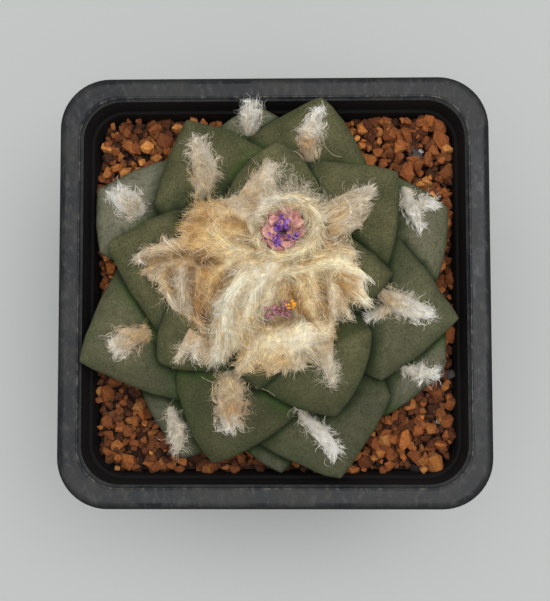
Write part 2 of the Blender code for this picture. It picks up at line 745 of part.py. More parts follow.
def main():
    clear_scene()
    parts = new_collection("living_rock_cactus")
    cutters = new_collection("cutters")
    make_pot(parts, cutters)
    make_grit(parts, cutters)
    cactus = make_plant_body("cactus", 0, parts)
    finish(cactus, new_material("grey_green_skin", (0.085, 0.11, 0.045), 0.75), angle=50)
    plant_clearance = make_plant_body("plant_clearance", GROWTH, cutters)
    hide_cutter(plant_clearance)
    surface = make_surface(cactus)
    cream = new_material("cream_wool", (0.72, 0.56, 0.36), 0.95)
    white = new_material("white_wool", (0.74, 0.71, 0.65), 0.95)
    crown_wool = make_crown_wool("crown_wool", 0, parts)
    add_boolean(crown_wool, plant_clearance)
    make_well(
        crown_wool, "flower_well", (FLOWER_X, FLOWER_Y), FLOWER_FOOT, FLOWER_RADIUS, surface, cutters
    )
    make_well(
        crown_wool, "second_well", (SECOND_X, SECOND_Y), SECOND_FOOT, SECOND_RADIUS, surface, cutters
    )
    apply_modifiers(crown_wool)
    finish(crown_wool, cream)
    wool_clearance = make_crown_wool("wool_clearance", GROWTH, cutters)
    hide_cutter(wool_clearance)
    draw = random.Random(TUFT_SEED)
    for row in TUFTS:
        tuft = make_tuft(row, surface, draw, parts)
        add_boolean(tuft, plant_clearance)
        add_boolean(tuft, wool_clearance)
        apply_modifiers(tuft)
        finish(tuft, white)
    make_flowers(parts, surface)


main()
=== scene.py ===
# %% [markdown]
# # A living rock cactus in a square pot
#
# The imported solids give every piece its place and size. This lesson dresses them: finer
# tubercles with a mealy skin, thousands of wool hairs, loose grit and scuffed plastic.

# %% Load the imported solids
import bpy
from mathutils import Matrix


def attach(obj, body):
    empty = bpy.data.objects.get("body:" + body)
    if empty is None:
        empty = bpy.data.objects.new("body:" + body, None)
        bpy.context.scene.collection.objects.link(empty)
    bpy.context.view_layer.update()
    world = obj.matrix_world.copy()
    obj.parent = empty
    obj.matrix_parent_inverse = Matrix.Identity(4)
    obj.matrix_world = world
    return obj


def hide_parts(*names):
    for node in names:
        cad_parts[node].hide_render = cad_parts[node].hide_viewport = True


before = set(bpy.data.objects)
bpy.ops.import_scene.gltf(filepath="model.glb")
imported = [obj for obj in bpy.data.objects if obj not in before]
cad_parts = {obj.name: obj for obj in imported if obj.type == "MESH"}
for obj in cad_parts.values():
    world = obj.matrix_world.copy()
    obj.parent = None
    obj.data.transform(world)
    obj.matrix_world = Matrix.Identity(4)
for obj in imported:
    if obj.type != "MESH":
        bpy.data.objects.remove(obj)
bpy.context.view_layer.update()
print("solids:", ", ".join(sorted(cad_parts)))

# %% [markdown]
# The drawing tools come next. Lengths are written in millimetres and turned to metres by one
# factor, so a size in a table reads as on a drawing.

# %% Modules and units
import math

import bmesh
import bpy
import numpy as np
from mathutils import Matrix, Vector, kdtree, noise
from mathutils.bvhtree import BVHTree

MM = 0.001
print("one millimetre is", MM, "of Blender's units")

# %% [markdown]
# ## The camera
#
# The plant is seen from almost straight above. The rim's four corners give the camera's turn and
# its spot over the pot once a distance is chosen, but they fit nearly as well from 18 cm as from
# 50 cm. So 26 cm over the rim is a judgement, and the lens follows from it.

# %% Camera
CAMERA_SPOT = (6.2 * MM, -20.6 * MM, 345.7 * MM)
CAMERA_TURN = (4.024, 1.311, -0.089)
CAMERA_LENS = 69.54

camera_data = bpy.data.cameras.new("camera")
camera_data.lens = CAMERA_LENS
camera_data.clip_start = 10 * MM
camera = bpy.data.objects.new("camera", camera_data)
camera.location = CAMERA_SPOT
camera.rotation_euler = [math.radians(turn) for turn in CAMERA_TURN]
bpy.context.scene.collection.objects.link(camera)
bpy.context.scene.camera = camera
bpy.context.scene.view_settings.view_transform = "Standard"
print("camera", round(camera.location.length * 1000), "mm from the pot's foot")

# %% [markdown]
# ## Materials
#
# Every finish is a node tree under a Principled shader. One function turns an sRGB code to
# linear colour and one adds a node, so that each material reads as a short recipe.

# %% Helpers for materials
def linear(code):
    """An sRGB hex code as a linear colour."""
    parts = [int(code[i:i + 2], 16) / 255 for i in (1, 3, 5)]
    parts = [p / 12.92 if p <= 0.04045 else ((p + 0.055) / 1.055) ** 2.4 for p in parts]
    return (*parts, 1.0)


def per(millimetres):
    """The noise scale whose features are this many millimetres wide."""
    return 1 / (millimetres * MM)


def add_node(material, kind, inputs=None, **settings):
    """Adds a node. Each input is a value, or the output socket that feeds it."""
    made = material.node_tree.nodes.new(kind)
    for name, value in settings.items():
        setattr(made, name, value)
    for key, value in (inputs or {}).items():
        if isinstance(value, bpy.types.NodeSocket):
            material.node_tree.links.new(value, made.inputs[key])
        else:
            made.inputs[key].default_value = value
    return made


def new_material(name, roughness):
    """A material and its Principled shader."""
    material = bpy.data.materials.new(name)
    material.use_nodes = True
    shader = material.node_tree.nodes["Principled BSDF"]
    shader.inputs["Roughness"].default_value = roughness
    return material, shader


print("linear mid grey:", [round(part, 3) for part in linear("#808080")[:3]])

# %% [markdown]
# ## The table and the light
#
# A pale grey table top under a large soft light. The light is weaker on the left, as in a room
# with its window on the right.

# %% Floor and lights
# Half the table's width and the place that the lights point at, in metres.
TABLE_HALF = 3
LIT_SPOT = (0, 0, 0.09)

table_finish, table_shader = new_material("pale_table", 0.7)
table_shader.inputs["Base Color"].default_value = linear("#b6b8b5")

bm = bmesh.new()
bmesh.ops.create_grid(bm, x_segments=1, y_segments=1, size=TABLE_HALF)
floor_mesh = bpy.data.meshes.new("floor")
bm.to_mesh(floor_mesh)
bm.free()
floor_mesh.materials.append(table_finish)
floor = bpy.data.objects.new("floor", floor_mesh)
bpy.context.scene.collection.objects.link(floor)

world = bpy.data.worlds.new("soft_room")
world.use_nodes = True
room = world.node_tree.nodes["Background"]
room.inputs["Color"].default_value = linear("#f4f6f8")
room.inputs["Strength"].default_value = 0.7
bpy.context.scene.world = world


def add_softbox(name, spot, width, power):
    """A round soft light that points at the plant. Its size is in metres and watts."""
    light = bpy.data.lights.new(name, "AREA")
    light.shape = "DISK"
    light.size = width
    light.energy = power
    box = bpy.data.objects.new(name, light)
    box.location = spot
    box.rotation_euler = (Vector(spot) - Vector(LIT_SPOT)).to_track_quat("Z", "Y").to_euler()
    bpy.context.scene.collection.objects.link(box)


add_softbox("window", (0.28, 0.1, 1.1), 0.5, 3)
add_softbox("ceiling", (0.0, 0.05, 1.3), 1.0, 6.6)
print("table and two soft lights")

# %% [markdown]
# ## From bmesh to piece
#
# Each piece rides on the one body, names the solids it stands for, and gets its finish.

# %% Helpers for pieces
def mesh_from(name, bm):
    """Writes the bmesh to a mesh with its normals facing out, and frees it."""
    bmesh.ops.recalc_face_normals(bm, faces=bm.faces)
    mesh = bpy.data.meshes.new(name)
    bm.to_mesh(mesh)
    bm.free()
    return mesh


def new_object(name, mesh):
    """An object that holds the mesh, linked to the scene."""
    obj = bpy.data.objects.new(name, mesh)
    bpy.context.scene.collection.objects.link(obj)
    return obj


def make_piece(obj, material, replaced, sharp_angle):
    """Finishes an object as a piece of the part, flat shaded where it has no sharp angle."""
    obj.data.materials.clear()
    obj.data.materials.append(material)
    if sharp_angle:
        obj.data.shade_smooth()
        obj.data.set_sharp_from_angle(angle=math.radians(sharp_angle))
    else:
        obj.data.shade_flat()
    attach(obj, "root")
    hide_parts(*replaced)
    triangles = sum(len(face.vertices) - 2 for face in obj.data.polygons)
    print(f"{obj.name}: {triangles} triangles")


def applied(obj):
    """The object's mesh with its modifiers applied."""
    bpy.context.view_layer.update()
    graph = bpy.context.evaluated_depsgraph_get()
    mesh = bpy.data.meshes.new_from_object(obj.evaluated_get(graph), depsgraph=graph)
    obj.modifiers.clear()
    return mesh


print("helpers for pieces are ready")

# %% [markdown]
# Points are read and marked in whole arrays, because the wool has hundreds of thousands.

# %% Helpers for points
def vertices_of(mesh):
    """The mesh's points as an array of (points, 3)."""
    spots = np.empty(len(mesh.vertices) * 3, np.float32)
    mesh.vertices.foreach_get("co", spots)
    return spots.reshape(-1, 3).astype(float)


def paint(mesh, name, colours):
    """Stores one linear colour a vertex."""
    attribute = mesh.attributes.new(name, "FLOAT_COLOR", "POINT")
    full = np.ones((len(mesh.vertices), 4), np.float32)
    full[:, :3] = colours
    attribute.data.foreach_set("color", full.ravel())


def mark(mesh, name, values):
    """Stores one number a vertex."""
    attribute = mesh.attributes.new(name, "FLOAT", "POINT")
    attribute.data.foreach_set("value", np.asarray(values, np.float32))


print("helpers for points are ready")

# %% [markdown]
# ## The pot
#
# A blow-moulded nursery pot: a square with round corners, a rim that is turned down, a collar
# with fine rings and a ledge. A single face is extruded level by level, up the outside, over
# the rim and down inside, so the wall is one closed body. Its inner sizes also place the grit.

# %% Extruding a square outline
POT_HEIGHT = 85 * MM
RIM_HALF = 49 * MM
RIM_CORNER = 11.5 * MM
MOUTH_HALF = 43.1 * MM
FOOT_HALF = 35 * MM
FLOOR_TOP = 2.7 * MM
WALL = 1.1 * MM
LEDGE = 1.4 * MM
LEDGE_DROP = 6 * MM
WALL_TOP = 71 * MM
CORNER_SEGMENTS = 14


def wall_half(z):
    """The half width of the pot's inside at a height, below the ledge."""
    bottom = FOOT_HALF - WALL
    top = MOUTH_HALF - LEDGE
    return bottom + (top - bottom) * (z - FLOOR_TOP) / (POT_HEIGHT - LEDGE_DROP - FLOOR_TOP)


def wall_corner(z):
    """The corner radius of the pot's inside at a height, wider toward the top."""
    return 5.4 * MM + 1.9 * MM * z / POT_HEIGHT


def square_stack(name, levels):
    """Extrudes a round-cornered outline through levels of (half width, corner radius, height)."""
    half, corner, z = levels[0]
    bm = bmesh.new()
    bmesh.ops.create_grid(bm, x_segments=1, y_segments=1, size=half)
    bmesh.ops.bevel(
        bm, geom=bm.verts[:], offset=corner, offset_type="OFFSET", affect="VERTICES",
        segments=CORNER_SEGMENTS, profile=0.5, material=-1,
    )
    bmesh.ops.translate(bm, verts=bm.verts[:], vec=(0, 0, z))
    outline = bm.edges[:]
    for next_half, next_corner, z in levels[1:]:
        grown = bmesh.ops.extrude_edge_only(bm, edges=outline)["geom"]
        fresh = {item for item in grown if isinstance(item, bmesh.types.BMVert)}
        outline = [
            item for item in grown
            if isinstance(item, bmesh.types.BMEdge) and set(item.verts) <= fresh
        ]
        for vert in fresh:
            side_x, side_y = math.copysign(1, vert.co.x), math.copysign(1, vert.co.y)
            angle = math.atan2(
                vert.co.y - side_y * (half - corner), vert.co.x - side_x * (half - corner)
            )
            vert.co = (
                side_x * (next_half - next_corner) + next_corner * math.cos(angle),
                side_y * (next_half - next_corner) + next_corner * math.sin(angle),
                z,
            )
        half, corner = next_half, next_corner
    bmesh.ops.holes_fill(bm, edges=outline, sides=0)
    return new_object(name, mesh_from(name, bm))


print("inside, the pot is", round(2 * wall_half(WALL_TOP) / MM, 1), "mm wide under its ledge")

# %% [markdown]
# The profile starts at the recessed panel under the foot and runs up the outside, out under the
# turned-down rim and over it. Inside come the collar's rings, the ledge, the wall and the floor.

# %% Pot
COLLAR_RINGS = 3
RING_DEPTH = 0.12 * MM

top = POT_HEIGHT
pot_levels = [
    # The recessed panel and the ring that the pot stands on.
    (29.5 * MM, 4.6 * MM, 1.2 * MM),
    (30 * MM, 4.7 * MM, 0.2 * MM),
    (30.3 * MM, 4.8 * MM, 0),
    (FOOT_HALF - 0.9 * MM, 5.6 * MM, 0),
    (FOOT_HALF - 0.3 * MM, 6 * MM, 0.3 * MM),
    (FOOT_HALF, 6.2 * MM, 0.9 * MM),
    # The outer wall, with a shoulder under the rim.
    (wall_half(WALL_TOP) + 1.2 * MM, 8 * MM, WALL_TOP),
    (44.1 * MM, 8.9 * MM, 73.6 * MM),
    (44.4 * MM, 9.1 * MM, 74.4 * MM),
    (44.7 * MM, 9.4 * MM, top - 2.4 * MM),
    # The rim's inside, its lower edge, its outside and its round outer edge.
    (47.2 * MM, 10.2 * MM, top - 2.4 * MM),
    (47.4 * MM, 10.3 * MM, top - 6.8 * MM),
    (RIM_HALF - 0.6 * MM, 11.1 * MM, top - 6.8 * MM),
    (RIM_HALF - 0.3 * MM, 11.3 * MM, top - 6.5 * MM),
    (RIM_HALF, RIM_CORNER, top - 1.7 * MM),
    (RIM_HALF - 0.15 * MM, RIM_CORNER - 0.1 * MM, top - 1 * MM),
    (RIM_HALF - 0.5 * MM, RIM_CORNER - 0.4 * MM, top - 0.45 * MM),
    (RIM_HALF - 1 * MM, RIM_CORNER - 0.8 * MM, top - 0.12 * MM),
    (RIM_HALF - 1.6 * MM, RIM_CORNER - 1.2 * MM, top),
    (RIM_HALF - 1.8 * MM, RIM_CORNER - 1.4 * MM, top),
    # The rim's flat top, its raised lip and its round inner edge.
    (MOUTH_HALF + 1.7 * MM, 9.8 * MM, top),
    (MOUTH_HALF + 1.5 * MM, 9.7 * MM, top),
    (MOUTH_HALF + 1.3 * MM, 9.6 * MM, top + 0.12 * MM),
    (MOUTH_HALF + 1.1 * MM, 9.5 * MM, top + 0.12 * MM),
    (MOUTH_HALF + 0.9 * MM, 9.4 * MM, top - 0.1 * MM),
    (MOUTH_HALF + 0.3 * MM, 8.8 * MM, top - 0.3 * MM),
    (MOUTH_HALF, 8.6 * MM, top - 0.9 * MM),
]
for ring in range(COLLAR_RINGS):
    z = top - 1.6 * MM - ring * 1.1 * MM
    half = MOUTH_HALF - (0.08 + 0.12 * ring) * MM
    pot_levels += [
        (half, 8.5 * MM, z),
        (half - RING_DEPTH, 8.4 * MM, z - 0.15 * MM),
        (half - RING_DEPTH, 8.4 * MM, z - 0.4 * MM),
        (half - 0.05 * MM, 8.4 * MM, z - 0.55 * MM),
    ]
pot_levels += [
    (MOUTH_HALF - 0.5 * MM, 8.2 * MM, top - 5.1 * MM),
    (MOUTH_HALF - 0.7 * MM, 8 * MM, top - 5.5 * MM),
    (MOUTH_HALF - 1.3 * MM, 7.4 * MM, top - 5.8 * MM),
    (wall_half(WALL_TOP), wall_corner(WALL_TOP), WALL_TOP),
    (wall_half(FLOOR_TOP), wall_corner(FLOOR_TOP), FLOOR_TOP),
]
pot = square_stack("pot_shell", pot_levels)
print("the pot's profile has", len(pot_levels), "levels")

# %% [markdown]
# Water drains through one hole in the middle and one toward each corner. They are cut by drills,
# as in the solid, because a hole that is only dark paint shows from below.

# %% Drain holes
DRAIN_RADIUS = 4 * MM
DRAIN_SPREAD = 19 * MM
DRILL_LENGTH = 10 * MM

bm = bmesh.new()
for x, y in ((0, 0), (-1, -1), (-1, 1), (1, -1), (1, 1)):
    drill = bmesh.ops.create_cone(
        bm, cap_ends=True, segments=28, radius1=DRAIN_RADIUS, radius2=DRAIN_RADIUS,
        depth=DRILL_LENGTH,
    )
    place = (x * DRAIN_SPREAD, y * DRAIN_SPREAD, FLOOR_TOP / 2)
    bmesh.ops.translate(bm, verts=drill["verts"], vec=place)
drills = new_object("drills", mesh_from("drills", bm))
cut = pot.modifiers.new("drains", "BOOLEAN")
cut.object = drills
pot.data = applied(pot)
bpy.data.objects.remove(drills)
print("drained pot:", len(pot.data.vertices), "points")

# %% [markdown]
# The plastic is carbon-black polypropylene. Outside it is charcoal, rubbed to a lighter grey
# where hands and trays have scuffed it, and inside it is nearly black with a little brown dust.

# %% Shares of the plastic's tones
plastic, shader = new_material("scuffed_polypropylene", 0.5)
where = add_node(plastic, "ShaderNodeTexCoord").outputs["Object"]
cloud = add_node(
    plastic, "ShaderNodeTexNoise",
    {"Vector": where, "Scale": per(9), "Detail": 6, "Roughness": 0.62},
).outputs["Fac"]
stretch = add_node(
    plastic, "ShaderNodeMapping",
    {"Vector": where, "Rotation": (0, 0, 0.7), "Scale": (1, 0.6, 1)},
).outputs["Vector"]
scratch = add_node(
    plastic, "ShaderNodeTexNoise",
    {"Vector": stretch, "Scale": per(1.6), "Detail": 6, "Roughness": 0.7},
).outputs["Fac"]
facing = add_node(plastic, "ShaderNodeNewGeometry").outputs["Normal"]
upward = add_node(plastic, "ShaderNodeSeparateXYZ", {0: facing}).outputs["Z"]
height = add_node(plastic, "ShaderNodeSeparateXYZ", {0: where}).outputs["Z"]

# Each share is what it follows, the values where it starts and where it is full, and its most.
shares = {}
for name, source, start, full, most in (
    ("scuffed", cloud, 0.4, 0.62, 1),
    ("scratched", scratch, 0.5, 0.68, 0.6),
    ("flat", upward, 0.55, 0.97, 1),
    ("on_lip", height, POT_HEIGHT + 0.03 * MM, POT_HEIGHT + 0.11 * MM, 1),
    ("on_top", height, POT_HEIGHT - 0.9 * MM, POT_HEIGHT - 0.1 * MM, 1),
):
    shares[name] = add_node(
        plastic, "ShaderNodeMapRange",
        {"Value": source, "From Min": start, "From Max": full, "To Max": most},
    ).outputs["Result"]
# The lip's painted highlight lies where the raised lip is scratched.
shares["lip_highlight"] = add_node(
    plastic, "ShaderNodeMath", {0: shares["on_lip"], 1: shares["scratched"]}, operation="MULTIPLY",
).outputs[0]
print("shares of the plastic's tones:", ", ".join(shares))

# %% [markdown]
# The tones are laid over each other by those shares. The scuffs show only on faces that point
# up, so the rim's rounded edges stay dark as painted shade. The pot's inside stays black and dull,
# and a pale painted highlight lies only on the raised lip, where that is scratched.

# %% Scuffed plastic
CHARCOAL = "#080c12"
SCUFFED_GREY = "#2c2c2a"
RUBBED_GREY = "#454440"
# Black of faces that don't point up: painted shade on the rim's rounded edges.
SHADED_EDGE_BLACK = "#090d12"
# Pale grey of the painted highlight on the raised lip.
LIP_HIGHLIGHT_GREY = "#6c675c"
INSIDE_BLACK = "#090706"
INSIDE_ROUGHNESS = 0.85

# Each layer is its name, its share, and the colours or layers that it shows from 0 to 1.
layers = {}
for name, share, low, high in (
    ("scuffed", "scuffed", CHARCOAL, SCUFFED_GREY),
    ("rubbed", "scratched", "scuffed", RUBBED_GREY),
    # Faces that turn away from the sky stay dark, as painted shade on the rim's rounded edges.
    ("rim", "flat", SHADED_EDGE_BLACK, "rubbed"),
    ("lip_highlight", "lip_highlight", "rim", LIP_HIGHLIGHT_GREY),
    ("pot", "on_top", INSIDE_BLACK, "lip_highlight"),
):
    ends = [layers[end] if end in layers else linear(end) for end in (low, high)]
    layers[name] = add_node(
        plastic, "ShaderNodeMix", {0: shares[share], 6: ends[0], 7: ends[1]}, data_type="RGBA",
    ).outputs[2]
plastic.node_tree.links.new(layers["pot"], shader.inputs["Base Color"])

shader.inputs["Specular IOR Level"].default_value = 0.28
rough = add_node(
    plastic, "ShaderNodeMapRange",
    {"Value": cloud, "From Min": 0.3, "From Max": 0.7, "To Min": 0.38, "To Max": 0.62},
).outputs["Result"]
dull_inside = add_node(
    plastic, "ShaderNodeMix", {0: shares["on_top"], 2: INSIDE_ROUGHNESS, 3: rough},
    data_type="FLOAT",
).outputs[0]
plastic.node_tree.links.new(dull_inside, shader.inputs["Roughness"])
grain = add_node(
    plastic, "ShaderNodeTexNoise", {"Vector": where, "Scale": per(0.7), "Detail": 4},
).outputs["Fac"]
bump = add_node(
    plastic, "ShaderNodeBump", {"Height": grain, "Strength": 0.25, "Distance": 0.15 * MM},
)
plastic.node_tree.links.new(bump.outputs["Normal"], shader.inputs["Normal"])
make_piece(pot, plastic, ["pot"], 30)

# %% [markdown]
# ## The grit
#
# Crushed terracotta of 2 to 4 mm. A few chips are made as convex hulls of random points, since
# a crushed stone has flat broken faces and sharp edges, and copies of them are turned, sized
# and dropped on the bed. A filling below them closes the pot.

# %% Broken chips
CHIP_KINDS = 14
CHIP_CORNERS = 14
GRIT_SEED = 17

rng = np.random.default_rng(GRIT_SEED)


def crushed_chip(stretch):
    """One broken chip, about 1 unit across, as (points, triangles)."""
    bm = bmesh.new()
    for _ in range(CHIP_CORNERS):
        spot = rng.normal(size=3)
        spot = spot / np.linalg.norm(spot) * rng.uniform(0.47, 0.54)
        bm.verts.new(spot * stretch)
    hull = bmesh.ops.convex_hull(bm, input=bm.verts[:])
    bmesh.ops.delete(bm, geom=hull["geom_interior"], context="VERTS")
    bmesh.ops.triangulate(bm, faces=bm.faces[:])
    mesh = mesh_from("chip", bm)
    points = vertices_of(mesh)
    corners = np.array([face.vertices[:] for face in mesh.polygons])
    bpy.data.meshes.remove(mesh)
    return points, corners


def random_turns(count):
    """Random rotation matrices, from random unit quaternions."""
    turns = rng.normal(size=(4, count))
    w, x, y, z = turns / np.linalg.norm(turns, axis=0)
    rows = (
        1 - 2 * (y * y + z * z), 2 * (x * y - z * w), 2 * (x * z + y * w),
        2 * (x * y + z * w), 1 - 2 * (x * x + z * z), 2 * (y * z - x * w),
        2 * (x * z - y * w), 2 * (y * z + x * w), 1 - 2 * (x * x + y * y),
    )
    return np.stack(rows, axis=1).reshape(count, 3, 3)


print(CHIP_KINDS, "kinds of chip with", CHIP_CORNERS, "corners each")

# %% [markdown]
# The chips lie in three loose layers on a grid that is shaken out of line. Lower layers are
# darker, since little light reaches them, and there are none where the leaves hide the bed.

# %% Places of the chips
BED_TOP = 74.6 * MM
CORNER_HEAP = 1.6 * MM
PLANT_X = -0.8 * MM
PLANT_Y = 2.5 * MM
COVERED_RADIUS = 25 * MM
CHIP_PITCH = 2.2 * MM
CHIP_SHAKE = 0.45
CHIP_LAYERS = 3
LAYER_SHADE = 0.58
WALL_GAP = 0.3 * MM
CORNER_ROOM = 7 * MM


def bed_height(x, y):
    """The bed is heaped a little in the corners, most at the back right."""
    corner = np.abs(x * y) / MOUTH_HALF**2
    back_right = np.where(x > 0, np.maximum(0, x * y), 0) / MOUTH_HALF**2
    return BED_TOP + CORNER_HEAP * (corner + back_right)


def shaken(line):
    """Random steps for a grid of chips, up to a share of the distance between them."""
    return rng.uniform(-CHIP_SHAKE, CHIP_SHAKE, line.shape) * CHIP_PITCH


spots = []
reach = wall_half(BED_TOP) - WALL_GAP
for layer in range(CHIP_LAYERS):
    line = np.arange(-reach, reach, CHIP_PITCH)
    x, y = np.meshgrid(line, line)
    x = (x + shaken(x) + 0.4 * layer * CHIP_PITCH).ravel()
    y = (y + shaken(y) + 0.3 * layer * CHIP_PITCH).ravel()
    z = bed_height(x, y) + (0.5 - 1.1 * layer) * MM + rng.uniform(-0.6, 0.6, x.shape) * MM
    spots.append(np.stack([x, y, z, np.full(x.shape, LAYER_SHADE**layer)], axis=1))
spots = np.concatenate(spots)
inside = np.maximum(np.abs(spots[:, 0]), np.abs(spots[:, 1])) < reach
in_corner = np.hypot(
    np.maximum(0, np.abs(spots[:, 0]) - (reach - CORNER_ROOM)),
    np.maximum(0, np.abs(spots[:, 1]) - (reach - CORNER_ROOM)),
) < CORNER_ROOM
open_bed = np.hypot(spots[:, 0] - PLANT_X, spots[:, 1] - PLANT_Y) > COVERED_RADIUS
spots = spots[inside & in_corner & open_bed]
print(len(spots), "chips")

# %% [markdown]
# Each chip gets a kind, a size, a turn and a brown of its own. Most are 2 to 3 mm, as sieved
# grit is, and a few are grey or white stones.

# %% Grit
CHIP_SIZE = 2.5
CHIP_SIZE_SPREAD = 0.32
CHIP_SIZE_RANGE = (1.5, 4.8)
CHIP_TINTS = (
    "#76401a", "#8b4d21", "#a7662e", "#603111", "#995824", "#bf7e3e", "#4e260b", "#81471d",
)
CHIP_WEIGHTS = (0.2, 0.2, 0.13, 0.14, 0.12, 0.06, 0.08, 0.07)
ODD_TINTS = ("#4c4845", "#3a3836", "#d9d2c8")
ODD_WEIGHTS = (0.55, 0.35, 0.1)
ODD_SHARE = 0.018
FILL_DROP = 1.6 * MM

kinds = [crushed_chip(rng.uniform(0.72, 1.2, 3)) for _ in range(CHIP_KINDS)]
sizes = rng.lognormal(math.log(CHIP_SIZE), CHIP_SIZE_SPREAD, len(spots))
sizes = np.clip(sizes, *CHIP_SIZE_RANGE) * MM
turns = random_turns(len(spots))
pick = rng.integers(0, CHIP_KINDS, len(spots))
tints = np.array([linear(code)[:3] for code in CHIP_TINTS])
tint_of = tints[rng.choice(len(CHIP_TINTS), len(spots), p=CHIP_WEIGHTS)]
odd = rng.random(len(spots)) < ODD_SHARE
odd_tints = np.array([linear(code)[:3] for code in ODD_TINTS])
tint_of[odd] = odd_tints[rng.choice(len(ODD_TINTS), odd.sum(), p=ODD_WEIGHTS)]
tint_of *= rng.uniform(0.75, 1.25, (len(spots), 1)) * spots[:, 3:]
# Painted light and shade: the chips are lighter toward the back right and darker toward the left and toward
# -Y, where the pot's wall shades the bed.
tint_of *= 1 + (0.1 * spots[:, 0:1] + 0.08 * spots[:, 1:2]) / reach

all_points, all_faces, all_tints = [], [], []
offset = 0
for spot, size, turn, kind, tint in zip(spots, sizes, turns, pick, tint_of):
    points, corners = kinds[kind]
    all_points.append(points @ turn.T * size + spot[:3])
    all_faces.append(corners + offset)
    all_tints.append(np.repeat(tint[None], len(points), axis=0))
    offset += len(points)
chips_mesh = bpy.data.meshes.new("grit_chips")
chips_mesh.from_pydata(
    np.concatenate(all_points).tolist(), [], np.concatenate(all_faces).tolist()
)
paint(chips_mesh, "tint", np.concatenate(all_tints))
chips = new_object("grit_chips", chips_mesh)

fill_levels = [
    (wall_half(z) - WALL_GAP, wall_corner(z), z)
    for z in (FLOOR_TOP + WALL_GAP, BED_TOP - FILL_DROP)
]
filling = square_stack("grit_filling", fill_levels)
print("mean chip:", round(sizes.mean() / MM, 2), "mm")

# %% [markdown]
# Terracotta dust makes the chips matte. Each chip has its own brown, and a fine grain of lighter
# and darker specks sits on top of it.

# %% Terracotta finish
# Painted shade: the filling is a dark brown, so that the gaps between the chips read as deep shade.
FILLING_SHADE_BROWN = "#2a150a"

brick, shader = new_material("crushed_terracotta", 0.92)
where = add_node(brick, "ShaderNodeTexCoord").outputs["Object"]
tint = add_node(brick, "ShaderNodeAttribute", attribute_name="tint").outputs["Color"]
grain = add_node(
    brick, "ShaderNodeTexNoise",
    {"Vector": where, "Scale": per(0.6), "Detail": 5, "Roughness": 0.7},
).outputs["Fac"]
shade = add_node(
    brick, "ShaderNodeMapRange",
    {"Value": grain, "From Min": 0.3, "From Max": 0.72, "To Min": 0.55, "To Max": 1.5},
).outputs["Result"]
colour = add_node(
    brick, "ShaderNodeVectorMath", {0: tint, "Scale": shade}, operation="SCALE",
).outputs["Vector"]
brick.node_tree.links.new(colour, shader.inputs["Base Color"])
bump = add_node(brick, "ShaderNodeBump", {"Height": grain, "Strength": 0.5, "Distance": 0.2 * MM})
brick.node_tree.links.new(bump.outputs["Normal"], shader.inputs["Normal"])
make_piece(chips, brick, ["grit"], None)
paint(filling.data, "tint", linear(FILLING_SHADE_BROWN)[:3])
make_piece(filling, brick, ["grit"], 40)

# %% [markdown]
# ## The plant's body
#
# Each tubercle is a sphere drawn out to a kite: a bowed upper face, a keel below, nearly straight
# edges to its tip. All are joined with the stem by one Boolean union, which leaves the sharp
# creases that a real rosette has where one tubercle overlaps the next.

# %% Stem and taproot
# The profile is (radius, height) in millimetres, from the top to the tip of the taproot.
STEM_PROFILE = (
    (0, 92.5), (7, 91.8), (13, 89), (16.5, 84), (17, 79), (15.5, 71),
    (12, 58), (8, 46), (4, 35), (0, 30),
)
STEM_STEPS = 48

bm = bmesh.new()
previous = None
for radius, z in STEM_PROFILE:
    vert = bm.verts.new((radius * MM, 0, z * MM))
    if previous:
        bm.edges.new((previous, vert))
    previous = vert
bmesh.ops.spin(
    bm, geom=bm.verts[:] + bm.edges[:], cent=(0, 0, 0), axis=(0, 0, 1),
    angle=2 * math.pi, steps=STEM_STEPS, use_merge=True,
)
bmesh.ops.remove_doubles(bm, verts=bm.verts[:], dist=0.01 * MM)
bmesh.ops.translate(bm, verts=bm.verts[:], vec=(PLANT_X, PLANT_Y, 0))
body = new_object("cactus_body", mesh_from("cactus_body", bm))
print("stem:", len(body.data.vertices), "points")

# %% [markdown]
# A kite is written as its four corners. Its diagonals give its centre, and a rounded line through
# the corners gives its waist, where the bowed face meets the keel.

